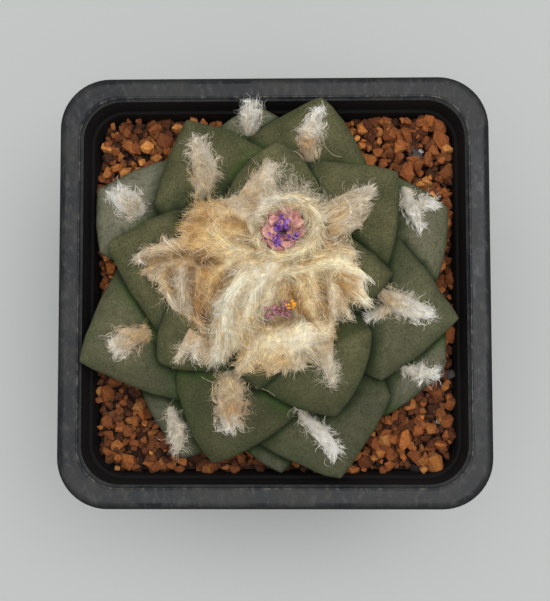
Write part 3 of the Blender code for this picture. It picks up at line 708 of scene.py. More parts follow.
# %% Kites
# Each kite is (tip, left corner, right corner, root) in millimetres, then the depth of its keel
# and how straight its edges run, from the oldest to the crown's.
TUBERCLES = (
    ((1.5, -41.2, 82), (-8.5, -33, 82), (6.5, -33, 82), (-2, -16, 82), 4.4, 1.5),
    ((-4.5, 42.2, 84.4), (-15, 35, 83), (4.5, 37, 84), (-2, 16, 83), 4.8, 1.6),
    ((37.8, -18.4, 84), (37.8, -7, 84), (23.5, -28.5, 84), (15, -6, 83), 5.2, 1.6),
    ((-20.8, -37.6, 84), (-30, -22, 84), (-11, -33, 84), (-10, -12, 83), 5.2, 1.7),
    ((-40.2, 23.7, 82.5), (-23, 30.5, 83), (-39.8, 8.8, 82.5), (-15, 9, 83), 4.6, 1.72),
    ((14.8, -41.8, 87.5), (-4, -33.5, 88), (25.6, -23.5, 89), (6, -8, 86), 8, 1.72),
    ((39, 18.4, 86), (27, 25.3, 87), (36.5, 1.8, 86.5), (12, 6, 86), 7.2, 1.7),
    ((-43, -15.9, 88.2), (-34.6, 5, 89), (-20.5, -24.6, 90), (-12, -5, 87), 8, 1.75),
    ((41, -6.6, 88), (27.6, 10.8, 91), (23.5, -20.2, 91), (10, 0, 89), 8.5, 1.8),
    ((10.9, 42.8, 90), (-6.2, 33, 89.5), (21, 27, 90), (1, 12, 88), 9, 1.7),
    ((-13.3, -37.9, 91), (-21.3, -19, 92), (5.8, -26.4, 92), (-4, -8, 89), 9, 1.55),
    ((-19, 37.2, 92), (-26, 18.5, 92.5), (-2, 30.5, 93), (-6, 8, 90), 9, 1.72),
    ((-36.2, 9.4, 94), (-24, -10.8, 94), (-19.2, 17.6, 94.5), (-8, 1, 88), 10, 1.78),
    ((27, 24.2, 99), (7.6, 26.4, 97.5), (24.6, 4, 96.5), (4, 5, 88), 10, 1.7),
    ((13.5, -27.8, 97), (21.1, -10, 98), (-4, -20, 96.5), (2, 0, 88), 10, 1.5),
    ((-24.5, -16.5, 95), (-9, -17, 96), (-22, -3, 96), (-4, 0, 88), 10, 1.45),
    ((-19.4, 16.6, 97.5), (-18, 8, 98), (-12.5, 18, 98), (-3, 3, 89), 10, 1.4),
    ((-3.2, -22.2, 97.8), (3.6, -16, 98.5), (-8, -16, 98.5), (-1, 0, 89), 10, 1.5),
    ((25.8, 2.5, 98.5), (15, 11.3, 100), (18.5, -5.5, 99), (2, 2, 89), 10, 1.7),
    ((1, 30.4, 101.5), (-11, 17, 97.5), (11, 18.3, 97.5), (0, 4, 88), 9, 1.38),
)


def kite_centre(row):
    """Where the kite's diagonals cross in plan, at the mean height of its side corners."""
    tip, left, right, root = (Vector(corner) * MM for corner in row[:4])
    along = tip - root
    across = right - left
    start = left - root
    turn = along.x * across.y - along.y * across.x
    centre = root + along * ((start.x * across.y - start.y * across.x) / turn)
    centre.z = (left.z + right.z) / 2
    return centre


def kite_point(row, angle):
    """A point of the kite's waist, at an angle round its centre."""
    *corners, _, straightness = row
    tip, left, right, root = (Vector(corner) * MM for corner in corners)
    centre = kite_centre(row)
    forward, sideways = math.cos(angle), math.sin(angle)
    power = straightness if forward > 0 else 1
    end = tip if forward > 0 else root
    side = left if sideways > 0 else right
    return centre + (end - centre) * abs(forward) ** power + (side - centre) * abs(sideways) ** power


print(len(TUBERCLES), "kites")

# %% [markdown]
# A tubercle starts as a ball. Each of its points moves out to the waist in its direction, then
# up to the bowed face or down to the keel.

# %% Tubercles
TUBERCLE_AROUND = 48
TUBERCLE_RINGS = 26
FACE_BOW = 2.4 * MM
FACE_FLATNESS = 2.6
FACE_SPREAD = 0.8
KEEL_SHARPNESS = 1.4


def make_tubercle(number, row):
    """A sphere drawn out to a kite, with a bowed face above and a keel below."""
    centre = kite_centre(row)
    keel_depth = row[4] * MM
    bm = bmesh.new()
    bmesh.ops.create_uvsphere(bm, u_segments=TUBERCLE_AROUND, v_segments=TUBERCLE_RINGS, radius=1)
    for vert in bm.verts:
        angle = math.atan2(vert.co.y, vert.co.x)
        out = min(1, math.hypot(vert.co.x, vert.co.y))
        if vert.co.z > 0:
            out = out**FACE_SPREAD
            lift = FACE_BOW * (1 - out**FACE_FLATNESS) ** (1 / FACE_FLATNESS)
        else:
            lift = -keel_depth * (1 - out**KEEL_SHARPNESS)
        vert.co = centre + (kite_point(row, angle) - centre) * out + Vector((0, 0, lift))
    return new_object(f"tubercle_{number}", mesh_from(f"tubercle_{number}", bm))


tubercles = [make_tubercle(number, row) for number, row in enumerate(TUBERCLES)]
owners = kdtree.KDTree(sum(len(item.data.vertices) for item in tubercles))
owner_of = []
for number, item in enumerate(tubercles):
    for vert in item.data.vertices:
        owners.insert(vert.co, len(owner_of))
        owner_of.append(number)
owners.balance()
print("tubercles:", len(owner_of), "points")

# %% [markdown]
# The search tree above remembers which tubercle each point came from, which a union doesn't keep.
# The union takes all tubercles at once, as a collection.

# %% The joined rosette
rosette = bpy.data.collections.new("rosette")
for item in tubercles:
    bpy.context.scene.collection.objects.unlink(item)
    rosette.objects.link(item)
join = body.modifiers.new("join", "BOOLEAN")
join.operation = "UNION"
join.operand_type = "COLLECTION"
join.collection = rosette
body.data = applied(body)
for item in tubercles:
    bpy.data.objects.remove(item)
bpy.data.collections.remove(rosette)
print("joined rosette:", len(body.data.vertices), "points")

# %% [markdown]
# The skin is uneven at three sizes, from broad soft dents to a fine grain. Four numbers are
# stored on every point for the finish: how near it is to a kite's edge, where it is lighter with
# wear and a painted highlight; how near the root, where the skin is a fresh green painted darker
# as shade; how old its tubercle is; and how far toward -Y it lies, where painted shade darkens the
# lower tubercles.

# %% Skin relief and its marks
WAIST_STEPS = 180
EDGE_WIDTH = 0.7 * MM
# Each mark grows below a start, over a width: along the kite, by the tip's height in
# millimetres, and toward -Y, where it is painted shade on the lower tubercles.
ROOT_GROWS = (0.62, 0.3)
AGE_GROWS = (90, 7)
FRONT_SHADE_GROWS = (-8 * MM, 18 * MM)
# Each unevenness is its width and its depth in millimetres.
RELIEF = ((7, 0.38), (2.2, 0.13), (0.9, 0.05))


def below(value, start, width):
    """How far a value lies below the start, as a share of the width, from 0 to 1."""
    return min(1, max(0, (start - value) / width))


waist = kdtree.KDTree(len(TUBERCLES) * WAIST_STEPS)
for number, row in enumerate(TUBERCLES):
    for step in range(WAIST_STEPS):
        angle = math.radians(360 / WAIST_STEPS * step)
        waist.insert(kite_point(row, angle), number * WAIST_STEPS + step)
waist.balance()

marks = {"edge": [], "root": [], "age": [], "front": []}
moved = []
for vert in body.data.vertices:
    spot = vert.co
    row = TUBERCLES[owner_of[owners.find(spot)[1]]]
    tip, root = Vector(row[0]) * MM, Vector(row[3]) * MM
    spine = tip - root
    along = (spot - root).dot(spine) / spine.length_squared
    edge_gap = waist.find(spot)[2]
    marks["edge"].append(math.exp(-(edge_gap / EDGE_WIDTH) ** 2))
    marks["root"].append(below(along, *ROOT_GROWS))
    marks["age"].append(below(row[0][2], *AGE_GROWS))
    marks["front"].append(below(spot.y, *FRONT_SHADE_GROWS))
    relief = sum(noise.noise(spot * per(width)) * depth * MM for width, depth in RELIEF)
    moved.append(spot + vert.normal * relief)
for vert, spot in zip(body.data.vertices, moved):
    vert.co = spot
for name, values in marks.items():
    mark(body.data, name, values)
print("marks on the skin:", ", ".join(marks))

# %% [markdown]
# The skin is grey-green with a meal of pale wax specks, about 0.4 mm apart. It is lighter on the
# edges, with wear and a painted highlight, fresh green and painted darker as shade deep in the
# creases, grey on the old outer tubercles, and painted darker toward -Y as shade. Every such
# share, from 0 to 1, comes from a mark or from a noise, and is limited to its own strength.

# %% Shares of the skin's tones
skin, shader = new_material("mealy_skin", 0.78)
where = add_node(skin, "ShaderNodeTexCoord").outputs["Object"]
shares = {}
for name in ("edge", "root", "age", "front", "band", "crease"):
    shares[name] = add_node(skin, "ShaderNodeAttribute", attribute_name=name).outputs["Fac"]
for name, strength in (("age", 0.9), ("root", 0.85), ("edge", 0.5), ("front", 0.42)):
    shares[name] = add_node(
        skin, "ShaderNodeMath", {0: shares[name], 1: strength}, operation="MULTIPLY",
    ).outputs[0]

# Each noise is its width in millimetres, its detail and its roughness.
noises = {}
for name, width, detail, roughness in (
    ("patch", 6, 4, 0.5),
    ("meal", 0.42, 3, 0.6),
    ("mottle", 1.5, 4, 0.65),
    ("fresh", 13, 2, 0.5),
):
    noises[name] = add_node(
        skin, "ShaderNodeTexNoise",
        {"Vector": where, "Scale": per(width), "Detail": detail, "Roughness": roughness},
    ).outputs["Fac"]

# Each share is the noise it follows, the values where it starts and where it is full, and its most.
for name, source, start, full, most in (
    ("patchy", "patch", 0.35, 0.65, 1),
    ("pale", "meal", 0.52, 0.72, 0.42),
    ("dark", "meal", 0.48, 0.32, 0.6),
    ("mottled", "mottle", 0.5, 0.7, 0.5),
    ("vivid", "fresh", 0.5, 0.6, 1),
):
    shares[name] = add_node(
        skin, "ShaderNodeMapRange",
        {"Value": noises[source], "From Min": start, "From Max": full, "To Max": most},
    ).outputs["Result"]
print("shares of the skin's tones:", ", ".join(shares))

# %% [markdown]
# The tones are laid one over the other, each by its share. The last two lie in the creases
# between the tubercles: a fresh green band, also darkened as painted shade, and the painted shade
# at the very bottom.

# %% Mealy skin
BASE_GREEN = "#464428"

# The band's green: fresh skin, darkened as painted shade in the creases.
shaded_crease_green = add_node(
    skin, "ShaderNodeMix",
    {0: shares["vivid"], 6: linear("#26330e"), 7: linear("#304c0d")}, data_type="RGBA",
).outputs[2]
colour = linear(BASE_GREEN)
for share, tone in (
    ("patchy", linear("#5d593a")),
    ("age", linear("#787462")),
    # Fresh green near the root, painted darker as shade under the tubercle above.
    ("root", linear("#22330c")),
    # Lighter edges: wear and a painted highlight on the rounded edges.
    ("edge", linear("#74745a")),
    ("pale", linear("#757558")),
    ("dark", linear("#232613")),
    ("mottled", linear("#2b2c15")),
    # Painted shade on the lower tubercles, which lean away from the light.
    ("front", linear("#1f2213")),
    ("band", shaded_crease_green),
    ("crease", linear("#101804")),
):
    colour = add_node(
        skin, "ShaderNodeMix", {0: shares[share], 6: colour, 7: tone}, data_type="RGBA",
    ).outputs[2]
skin.node_tree.links.new(colour, shader.inputs["Base Color"])
shader.inputs["Specular IOR Level"].default_value = 0.25
bump = add_node(
    skin, "ShaderNodeBump", {"Height": noises["meal"], "Strength": 0.5, "Distance": 0.18 * MM},
)
skin.node_tree.links.new(bump.outputs["Normal"], shader.inputs["Normal"])
make_piece(body, skin, ["cactus"], 50)

# %% [markdown]
# ## Where the wool lies
#
# The wool's hairs lie on whatever is under them, so the heights of the skin, and later of the
# wool's own core, are read on a fine grid by rays cast from above.

# %% Height maps
MAP_HALF = 50 * MM
MAP_STEP = 0.5 * MM
MAP_COUNT = int(2 * MAP_HALF / MAP_STEP) + 1
SKY = 200 * MM
RIM_MARGIN = 0.6 * MM
MOUTH_DROP = 3 * MM


def height_map(mesh, below):
    """Heights of the mesh seen from above, or of the map below where it isn't there."""
    spots = vertices_of(mesh)
    tree = BVHTree.FromPolygons(
        [Vector(spot) for spot in spots], [face.vertices[:] for face in mesh.polygons]
    )
    first = np.floor((spots.min(axis=0) + MAP_HALF) / MAP_STEP).astype(int)
    last = np.ceil((spots.max(axis=0) + MAP_HALF) / MAP_STEP).astype(int) + 1
    heights = below.copy()
    down = Vector((0, 0, -1))
    for i in range(max(0, first[0]), min(MAP_COUNT, last[0])):
        for j in range(max(0, first[1]), min(MAP_COUNT, last[1])):
            start = Vector((i * MAP_STEP - MAP_HALF, j * MAP_STEP - MAP_HALF, SKY))
            hit = tree.ray_cast(start, down)[0]
            if hit:
                heights[i, j] = max(heights[i, j], hit.z)
    return heights


def height_at(heights, x, y):
    """Heights between the map's points."""
    u = np.clip((x + MAP_HALF) / MAP_STEP, 0, MAP_COUNT - 1.001)
    v = np.clip((y + MAP_HALF) / MAP_STEP, 0, MAP_COUNT - 1.001)
    i, j = u.astype(int), v.astype(int)
    a, b = u - i, v - j
    low = heights[i, j] * (1 - a) + heights[i + 1, j] * a
    high = heights[i, j + 1] * (1 - a) + heights[i + 1, j + 1] * a
    return low * (1 - b) + high * b


# Where there is no skin, the map holds the rim, and a level a little under it in the mouth.
line = np.arange(MAP_COUNT) * MAP_STEP - MAP_HALF
across, deep = np.meshgrid(line, line, indexing="ij")
over_rim = np.maximum(np.abs(across), np.abs(deep)) > MOUTH_HALF - RIM_MARGIN
bare = np.where(over_rim, POT_HEIGHT, POT_HEIGHT - MOUTH_DROP)
skin_map = height_map(body.data, bare)
print("skin from", round(skin_map.min() / MM, 1), "to", round(skin_map.max() / MM, 1), "mm")

# %% [markdown]
# Light doesn't reach into creases. How deep a point is sunk is read from two rings of heights
# round it, and the skin gets its last two marks from that.

# %% Sunken places
SUNKEN_RINGS = (0.4, 1)
SUNKEN_SPOKES = 12
STEEPEST = 1.5
SUNKEN_FULL = 14


def sunken(heights, spots, radius):
    """How deep points lie below what is around them within a radius, from 0 to 1."""
    total = np.zeros(len(spots))
    for share in SUNKEN_RINGS:
        reach = radius * share
        for step in range(SUNKEN_SPOKES):
            angle = 2 * math.pi * step / SUNKEN_SPOKES
            x, y = spots[:, 0] + reach * math.cos(angle), spots[:, 1] + reach * math.sin(angle)
            total += np.clip((height_at(heights, x, y) - spots[:, 2]) / reach, 0, STEEPEST)
    return np.clip(total / SUNKEN_FULL, 0, 1)


for name, most, radius in (("crease", 0.8, 1.1 * MM), ("band", 0.9, 3.2 * MM)):
    depths = most * sunken(skin_map, vertices_of(body.data), radius)
    mark(body.data, name, depths)
    print(name, "marks up to", round(depths.max(), 2))

# %% [markdown]
# ## Hairs
#
# A hair is a thin closed tube with three sides, swept along its line and tapered to its tip.
# A curve with a bevel sweeps thousands of them at once, and the open ends are filled.

# %% Sweeping hairs
HAIR_SIDES = 3
# A hair's width along its length, from the root to the tip, both as shares.
TAPER_STEPS = (0, 0.3, 0.7, 1)
TAPER_WIDTHS = (0.8, 1, 0.8, 0.15)

section_curve = bpy.data.curves.new("hair_section", "CURVE")
section_line = section_curve.splines.new("POLY")
section_line.points.add(HAIR_SIDES - 1)
for corner, point in enumerate(section_line.points):
    angle = 2 * math.pi * corner / HAIR_SIDES
    point.co = (math.cos(angle), math.sin(angle), 0, 1)
section_line.use_cyclic_u = True
hair_section = bpy.data.objects.new("hair_section", section_curve)


def sweep_hairs(name, paths, radius, tints):
    """Sweeps hairs of (hairs, points, 3), tapered from each hair's radius, and paints them."""
    curve = bpy.data.curves.new(name, "CURVE")
    curve.dimensions = "3D"
    curve.bevel_mode = "OBJECT"
    curve.bevel_object = hair_section
    hairs, points, _ = paths.shape
    taper = np.interp(np.linspace(0, 1, points), TAPER_STEPS, TAPER_WIDTHS)
    radii = radius[:, None] * taper
    flat = np.concatenate([paths, np.ones((hairs, points, 1))], axis=2).reshape(hairs, -1)
    for path, radius_line in zip(flat, radii):
        spline = curve.splines.new("POLY")
        spline.points.add(points - 1)
        spline.points.foreach_set("co", path)
        spline.points.foreach_set("radius", radius_line)
    holder = bpy.data.objects.new(name + "_lines", curve)
    bpy.context.scene.collection.objects.link(holder)
    tubes = applied(holder)
    bpy.data.objects.remove(holder)
    paint(tubes, "tint", np.repeat(tints.reshape(-1, 3), HAIR_SIDES, axis=0))
    bm = bmesh.new()
    bm.from_mesh(tubes)
    bmesh.ops.holes_fill(bm, edges=bm.edges[:], sides=HAIR_SIDES)
    return new_object(name, mesh_from(name, bm))


print("a hair's section has", len(section_line.points), "corners")

# %% [markdown]
# The wool's finish is carried by its hairs: each has the tone of its lock, dark at the root and
# light at the tip. Fine fibres scatter light along their edges, which is what sheen stands for.

# %% Wool finish
wool, shader = new_material("matted_wool", 0.9)
shader.inputs["Sheen Weight"].default_value = 0.3
shader.inputs["Sheen Roughness"].default_value = 0.5
shader.inputs["Specular IOR Level"].default_value = 0.2
where = add_node(wool, "ShaderNodeTexCoord").outputs["Object"]
tint = add_node(wool, "ShaderNodeAttribute", attribute_name="tint").outputs["Color"]
fleck = add_node(
    wool, "ShaderNodeTexNoise", {"Vector": where, "Scale": per(1.2), "Detail": 3},
).outputs["Fac"]
shade = add_node(
    wool, "ShaderNodeMapRange",
    {"Value": fleck, "From Min": 0.3, "From Max": 0.7, "To Min": 0.84, "To Max": 1.12},
).outputs["Result"]
colour = add_node(
    wool, "ShaderNodeVectorMath", {0: tint, "Scale": shade}, operation="SCALE",
).outputs["Vector"]
wool.node_tree.links.new(colour, shader.inputs["Base Color"])

WOOL_TONES = {
    "white": "#faf8f2",
    "pale": "#fff8e6",
    "cream": "#fbecc8",
    "gold": "#e6c488",
    "tan": "#d2b384",
    "amber": "#bc8c4c",
    # The darkest tone is used only as painted shade in pockets and partings.
    "umber": "#74502a",
    "fawn": "#cebb9a",
    "ash": "#dad0be",
    "grey": "#c4b9a8",
}
WOOL_TONES = {name: np.array(linear(code)[:3]) for name, code in WOOL_TONES.items()}
print("wool tones:", ", ".join(WOOL_TONES))

# %% [markdown]
# ## The locks of the crown
#
# One table carries the crown's wool. A lock is a line over the crown, with the height of its
# back, its width, the length of its hairs and its tone. Balls strung on the lines and melted
# together make the core, and the same lines comb the hairs.

# %% Locks
# Each lock is its points (x, y, top of its back), half widths at both ends, the hairs' length,
# the strength of its comb, the tones at both ends, and how loose it is: 0 is combed and 1 is
# felt. Lengths are in millimetres.
CROWN_LOCKS = (
    # The long lock that falls over the second flower, and its fringe.
    (((-1, 2, 105.4), (-5, 1.4, 107.2), (-8.2, -3, 107.6), (-10, -8, 106), (-11, -12.6, 102)),
     3, 2.2, 12, 9, "pale", "pale", 0),
    (((-0.4, 1.4, 105.2), (-3.2, -2, 106.4), (-5.4, -6.4, 105.4), (-7.6, -10.8, 103)),
     2.3, 1.8, 10, 6, "pale", "cream", 0),
    (((1, 1.2, 104.8), (-0.2, -1.8, 105), (-1.4, -5, 103.6)), 1.8, 1.2, 7, 2.5, "cream", "pale", 0),
    # The cushion under it.
    (((-3.6, -11.4, 102.8), (0.6, -12.6, 103.8), (5.4, -12, 104), (9.6, -10.4, 103.2)),
     3.6, 3.3, 5, 1.2, "cream", "pale", 1),
    (((-4, -13.2, 102), (-4.8, -15, 101.6), (-5.4, -16.4, 101)), 2.4, 2.4, 5, 2, "cream", "fawn", 0.5),
    (((0.4, -13.6, 102.4), (0.4, -15.2, 102), (0, -16.6, 101.2)), 2.6, 2.4, 5, 2, "cream", "tan", 0.6),
    (((5, -12.8, 102.4), (5.2, -14.6, 102), (5, -16, 101.2)), 2.6, 2.2, 5, 2, "cream", "ash", 0.5),
    (((11, -8.4, 102.8), (11.2, -11, 102.2), (10.4, -13.2, 101.2)), 2.2, 1.9, 4, 1, "cream", "fawn", 0.9),
    (((1.4, -16.8, 101.2), (5.6, -15.4, 101.8), (9.8, -13.4, 101.8)), 1.2, 1.2, 6, 2, "grey", "ash", 0.3),
    # The arms to the north and the north-east.
    (((-6.6, 15.8, 103), (-4.6, 20, 103), (-1, 25, 102.4)), 2.3, 1, 6, 2, "tan", "ash", 0.3),
    (((-2.4, 17, 103.6), (-1.4, 20.6, 103), (-0.2, 24.6, 102.4)), 2.1, 1, 5, 1.6, "ash", "ash", 0.5),
    (((-8.4, 16.6, 103), (-5, 15.4, 103.8), (-2.6, 13.4, 104.2)), 2.1, 1.9, 5, 1.4, "ash", "ash", 0.9),
    (((11.4, 14.6, 103.6), (16, 17.6, 103.4), (20.2, 19.4, 102.4)), 2.1, 1.7, 5, 2, "fawn", "ash", 0.4),
    (((11.8, 12.2, 103.4), (15, 14, 103), (18.4, 15.8, 102)), 2.2, 1.5, 5, 1.6, "tan", "ash", 0.5),
    (((12.4, 10.4, 103.2), (15.2, 11.4, 102.6), (18, 13.2, 101.6)), 1.4, 1.1, 4, 1.4, "fawn", "ash", 0.4),
    # The ring round the open flower: a strong arc on its right and a thin veil on its left.
    (((-1.8, 16.2, 105.4), (3, 17.6, 106.2), (7.2, 16.4, 106.4), (9.8, 13.2, 106.4), (9.4, 9.6, 106.2),
      (6.8, 7, 105.8), (2.6, 5.8, 105)), 2, 2, 9, 8, "pale", "cream", 0),
    (((1.8, 5.8, 105), (-1.4, 6.8, 104.8), (-3.8, 9.4, 104.6), (-4, 12.6, 104.6), (-2.4, 15.6, 105)),
     1.5, 1.6, 5, 3, "cream", "ash", 0.4),
    # The golden pad in the north-west and the middle band.
    (((-7, 13.4, 104), (-11.4, 15, 104), (-15.2, 15.2, 101.2)), 2.9, 2.2, 8, 2.2, "gold", "tan", 0.5),
    (((-6.6, 10, 104.2), (-12, 11, 104.4), (-17, 11.2, 101.2)), 2.9, 2.4, 9, 2.2, "gold", "gold", 0.5),
    (((-5.6, 6.6, 104.2), (-10.6, 7.4, 104.2), (-15.2, 8, 102)), 2.7, 2.4, 8, 2, "cream", "gold", 0.6),
    (((-8.6, 4.2, 104), (-3, 4, 104.4), (3, 3.4, 104.6), (9, 4.2, 104.2), (14, 5.6, 103.2)),
     2.6, 2.6, 6, 2, "cream", "cream", 0.6),
    # The golden slope below the pad, with the dark pocket at its foot, whose dark tone is painted shade.
    (((-11.6, 3.6, 103.2), (-12.4, 0.6, 102.8), (-13, -3.2, 101)), 2.9, 2.3, 6, 1.8, "gold", "tan", 0.5),
    (((-15.4, 3, 102), (-16, 0, 101.6), (-16, -4, 100)), 1.9, 1.7, 5, 1.6, "tan", "amber", 0.4),
    (((-14.8, -6.4, 99.6), (-12.6, -5.4, 99.8)), 1.2, 1.2, 3, 1.4, "umber", "umber", 0.6),
    # The flap in the west, with the smooth fold that hangs from it.
    (((-17, 8.2, 101.8), (-22, 8, 101.4), (-28.2, 6.2, 99)), 2.5, 1.4, 6, 1.8, "tan", "ash", 0.7),
    (((-18.6, 5, 101.6), (-22, 4, 101), (-25.4, 3, 100)), 2.3, 1.8, 5, 1.4, "tan", "fawn", 0.7),
    (((-19.4, 3.4, 101.6), (-19.4, 0, 101.4), (-19.2, -3.2, 100)), 2.1, 1.8, 7, 2.6, "ash", "ash", 0),
    (((-23.6, 3, 100.6), (-22.6, 0, 100.2), (-21.4, -3.2, 99.4)), 1.6, 1.2, 6, 2, "fawn", "ash", 0.2),
    # The tan lock below the fold, and the spiky fan in the south-west.
    (((-20.4, -4.4, 99.4), (-17.4, -7, 99.8), (-14.4, -9.4, 100.2)), 1.4, 1.4, 6, 2, "fawn", "tan", 0),
    (((-16.4, -9.8, 99.8), (-18.2, -12.2, 99.2), (-19.6, -14.6, 98)), 1.7, 0.7, 6, 3, "tan", "ash", 0),
    (((-16, -10.2, 99.8), (-16.4, -12.6, 99.2), (-16.6, -15, 98)), 1.6, 0.7, 6, 3, "tan", "white", 0),
    (((-15, -10, 100), (-14, -12.6, 99.4), (-13.6, -14.8, 98)), 1.7, 0.7, 6, 3, "tan", "ash", 0),
    # The lobes in the east and the twisted locks below them.
    (((11, 8.4, 104), (14, 8.2, 103.4), (16.2, 6.4, 102.2)), 2.3, 1.8, 5, 1.6, "fawn", "fawn", 0.9),
    (((12.6, 4.6, 104), (15.6, 3.4, 103), (18.4, 1.4, 101)), 2.5, 1.5, 6, 2, "cream", "pale", 0.4),
    (((14, 0.6, 103), (17, -1.2, 101.8), (19.2, -3, 100)), 2.1, 1.3, 6, 2.2, "gold", "pale", 0),
    (((12.6, -0.4, 103), (14.6, -2.6, 102), (15.8, -5.2, 100)), 1.7, 1.2, 6, 2.2, "tan", "pale", 0),
    (((12, 0.4, 103.4), (12.4, -2.2, 103), (12.8, -5.4, 101.8)), 1.1, 0.9, 6, 2.6, "pale", "pale", 0),
    (((8, 1.4, 104), (9, -1.4, 103.4), (10.2, -4.4, 102.4)), 2, 1.6, 6, 2, "cream", "tan", 0.3),
    (((5.8, -0.6, 103.8), (7, -3.4, 103), (8.6, -6, 102.6)), 2, 1.8, 5, 1.6, "gold", "cream", 0.6),
    # The thin arm in the south-east.
    (((10.8, -10.6, 102), (11.4, -15.2, 101.2), (12.5, -20, 99.6)), 2.3, 1, 4, 2.2, "fawn", "ash", 0.8),
)
print(len(CROWN_LOCKS), "locks on the crown")

# %% [markdown]
# Furrows part the locks. Spots of other tones lie over the wool, on the crown as on the tufts:
# some are its own stains, and the dark ones in partings and pockets are painted shadow.

# %% Partings, stains and painted shadows
# Each parting is a line (x, y) in millimetres.
PARTINGS = (
    ((3, -7.6), (-1.4, -8.4), (-5.2, -11.6), (-8.2, -16)),
    ((-8, 3.4), (-11.8, -1.6), (-13.2, -7), (-13.6, -13)),
    ((-17.6, 6.6), (-14.6, 5.4), (-11.6, 4.8)),
    ((-17.3, 3.4), (-17.1, 0), (-17.3, -4.6)),
    ((11, 17), (11.6, 12.6), (10.8, 8.6), (7.4, 5.2), (2.6, 4.4)),
    ((-8.6, 13.6), (-5.4, 12), (-5, 8.4)),
    ((12.6, 9.8), (15, 9.6), (17.4, 10.2)),
    ((10.8, 1.6), (11, -1.4), (11.4, -5)),
    ((13.6, 1.2), (15, -1.8), (17, -5)),
    ((3.8, 0.6), (5, -3), (6.6, -6.8), (11.6, -7.4)),
    ((-20.6, -5.6), (-17, -8.4), (-15, -10)),
    ((-27, 5.4), (-23, 5.8), (-19, 6.8)),
    ((-21.7, 3.4), (-21.3, 0), (-20.5, -4)),
)
# Spots of tone over the wool, stains and painted shadows, each (x, y, radius, tone).
STAINS_AND_SHADOWS = (
    (-15.8, 11.2, 1.5, "amber"), (-12.4, 14, 1.2, "amber"), (-14, 5.2, 1.3, "amber"),
    (-15.6, -1.4, 1.6, "amber"), (-17.4, -5.8, 1, "amber"), (-13.8, -5.8, 1.5, "umber"),
    (-12.8, -9, 1, "umber"), (-11.6, -1, 1, "amber"), (11.6, 11.4, 1, "amber"),
    (11.4, 8.4, 0.9, "amber"), (15.4, 0.2, 1.2, "amber"), (10.8, -1.4, 1.1, "amber"),
    (8.4, 0.6, 1, "tan"), (13.8, -3.6, 1, "tan"), (-24.8, 5.2, 1.3, "tan"),
    (-22.4, 1.2, 1.1, "tan"), (-3, -17.4, 1.6, "tan"), (1.4, -15.4, 1.4, "gold"),
    # The dark spot round the second flower's pocket is painted shadow.
    (-6.4, -13.4, 1.2, "tan"), (3.4, -6.8, 1.4, "umber"), (-1.4, -7, 1, "amber"),
    (4.6, -2.6, 1.2, "amber"), (-4, 5.2, 1.3, "gold"),
    # On the tufts.
    (-8.6, -26, 2.2, "amber"), (-8.8, -19.6, 2.6, "cream"), (-9.6, -30.4, 1.8, "white"),
    (-9.6, -20, 1.4, "tan"), (-12.2, 21.4, 1.8, "tan"), (-17.4, 24, 1.6, "tan"),
    (7.6, 30.8, 1.7, "amber"), (24.6, -2.6, 1.6, "tan"), (-28.6, -10.2, 2, "tan"),
    (-34.2, -13.6, 2, "white"), (-31.6, 18.4, 1.6, "fawn"),
)
print(len(PARTINGS), "partings and", len(STAINS_AND_SHADOWS), "stains")

# %% [markdown]
# A comb gives the wool's heading at any place: every lock pulls on it, most where the lock runs.
# The same pull blends the locks' hair lengths, tones and looseness.

# %% Combs
LOCK_STEPS = 9
COMB_REACH = 0.9
STAIN_AND_SHADOW_STRENGTH = 0.8
# A far, faint pull of every lock keeps the comb defined beyond them all.
FAR_PULL = 1e-9


def along_line(points, steps):
    """Evenly spaced points on a line through points, and its headings there."""
    points = np.array(points, float)
    strides = np.hypot(*np.diff(points[:, :2], axis=0).T)
    gone = np.concatenate([[0], np.cumsum(strides)])
    spots = np.linspace(0, gone[-1], steps)
    placed = np.stack([np.interp(spots, gone, column) for column in points.T], axis=1)
    slopes = np.gradient(placed[:, :2], axis=0)
    return placed, slopes / np.linalg.norm(slopes, axis=1, keepdims=True)


def make_comb(locks):
    """A function that gives the wool's heading, hair length, tone and looseness at points."""
    # A row is x, y, heading in x and y, reach, hair length, pull, the tone's three and looseness.
    rows = []
    for points, start, end, length, strength, near, far, loose in locks:
        placed, slopes = along_line(points, LOCK_STEPS)
        for share, spot, slope in zip(np.linspace(0, 1, LOCK_STEPS), placed, slopes):
            width = start + (end - start) * share
            tone = WOOL_TONES[near] * (1 - share) + WOOL_TONES[far] * share
            rows.append(
                (*spot[:2], *slope, COMB_REACH * width, length, strength / width, *tone, loose)
            )
    rows = np.array(rows)
    rows[:, [0, 1, 4, 5]] *= MM

    def comb_at(x, y):
        """The comb's heading, hair length, tone and looseness at points."""
        gaps = (x[:, None] - rows[:, 0]) ** 2 + (y[:, None] - rows[:, 1]) ** 2
        share = rows[:, 6] * np.exp(-gaps / rows[:, 4] ** 2) + FAR_PULL / (1 + gaps / MM**2)
        total = share.sum(axis=1)
        heading = np.arctan2(share @ rows[:, 3], share @ rows[:, 2])
        tone = share @ rows[:, 7:10] / total[:, None]
        return heading, share @ rows[:, 5] / total, tone, share @ rows[:, 10] / total

    return comb_at


def stained_and_shaded(base, x, y):
    """The wool's tone with its stains and spots of painted shadow laid over it."""
    for spot_x, spot_y, radius, tone in STAINS_AND_SHADOWS:
        gap = np.hypot(x - spot_x * MM, y - spot_y * MM) / (radius * MM)
        share = STAIN_AND_SHADOW_STRENGTH * np.exp(-(gap**2))[:, None]
        base = base * (1 - share) + WOOL_TONES[tone] * share
    return base


crown_comb = make_comb(CROWN_LOCKS)
heading, length, _, _ = crown_comb(np.zeros(1), np.zeros(1))
print("mid-crown hairs run", round(length[0] / MM, 1), "mm,", round(math.degrees(heading[0])), "degrees")

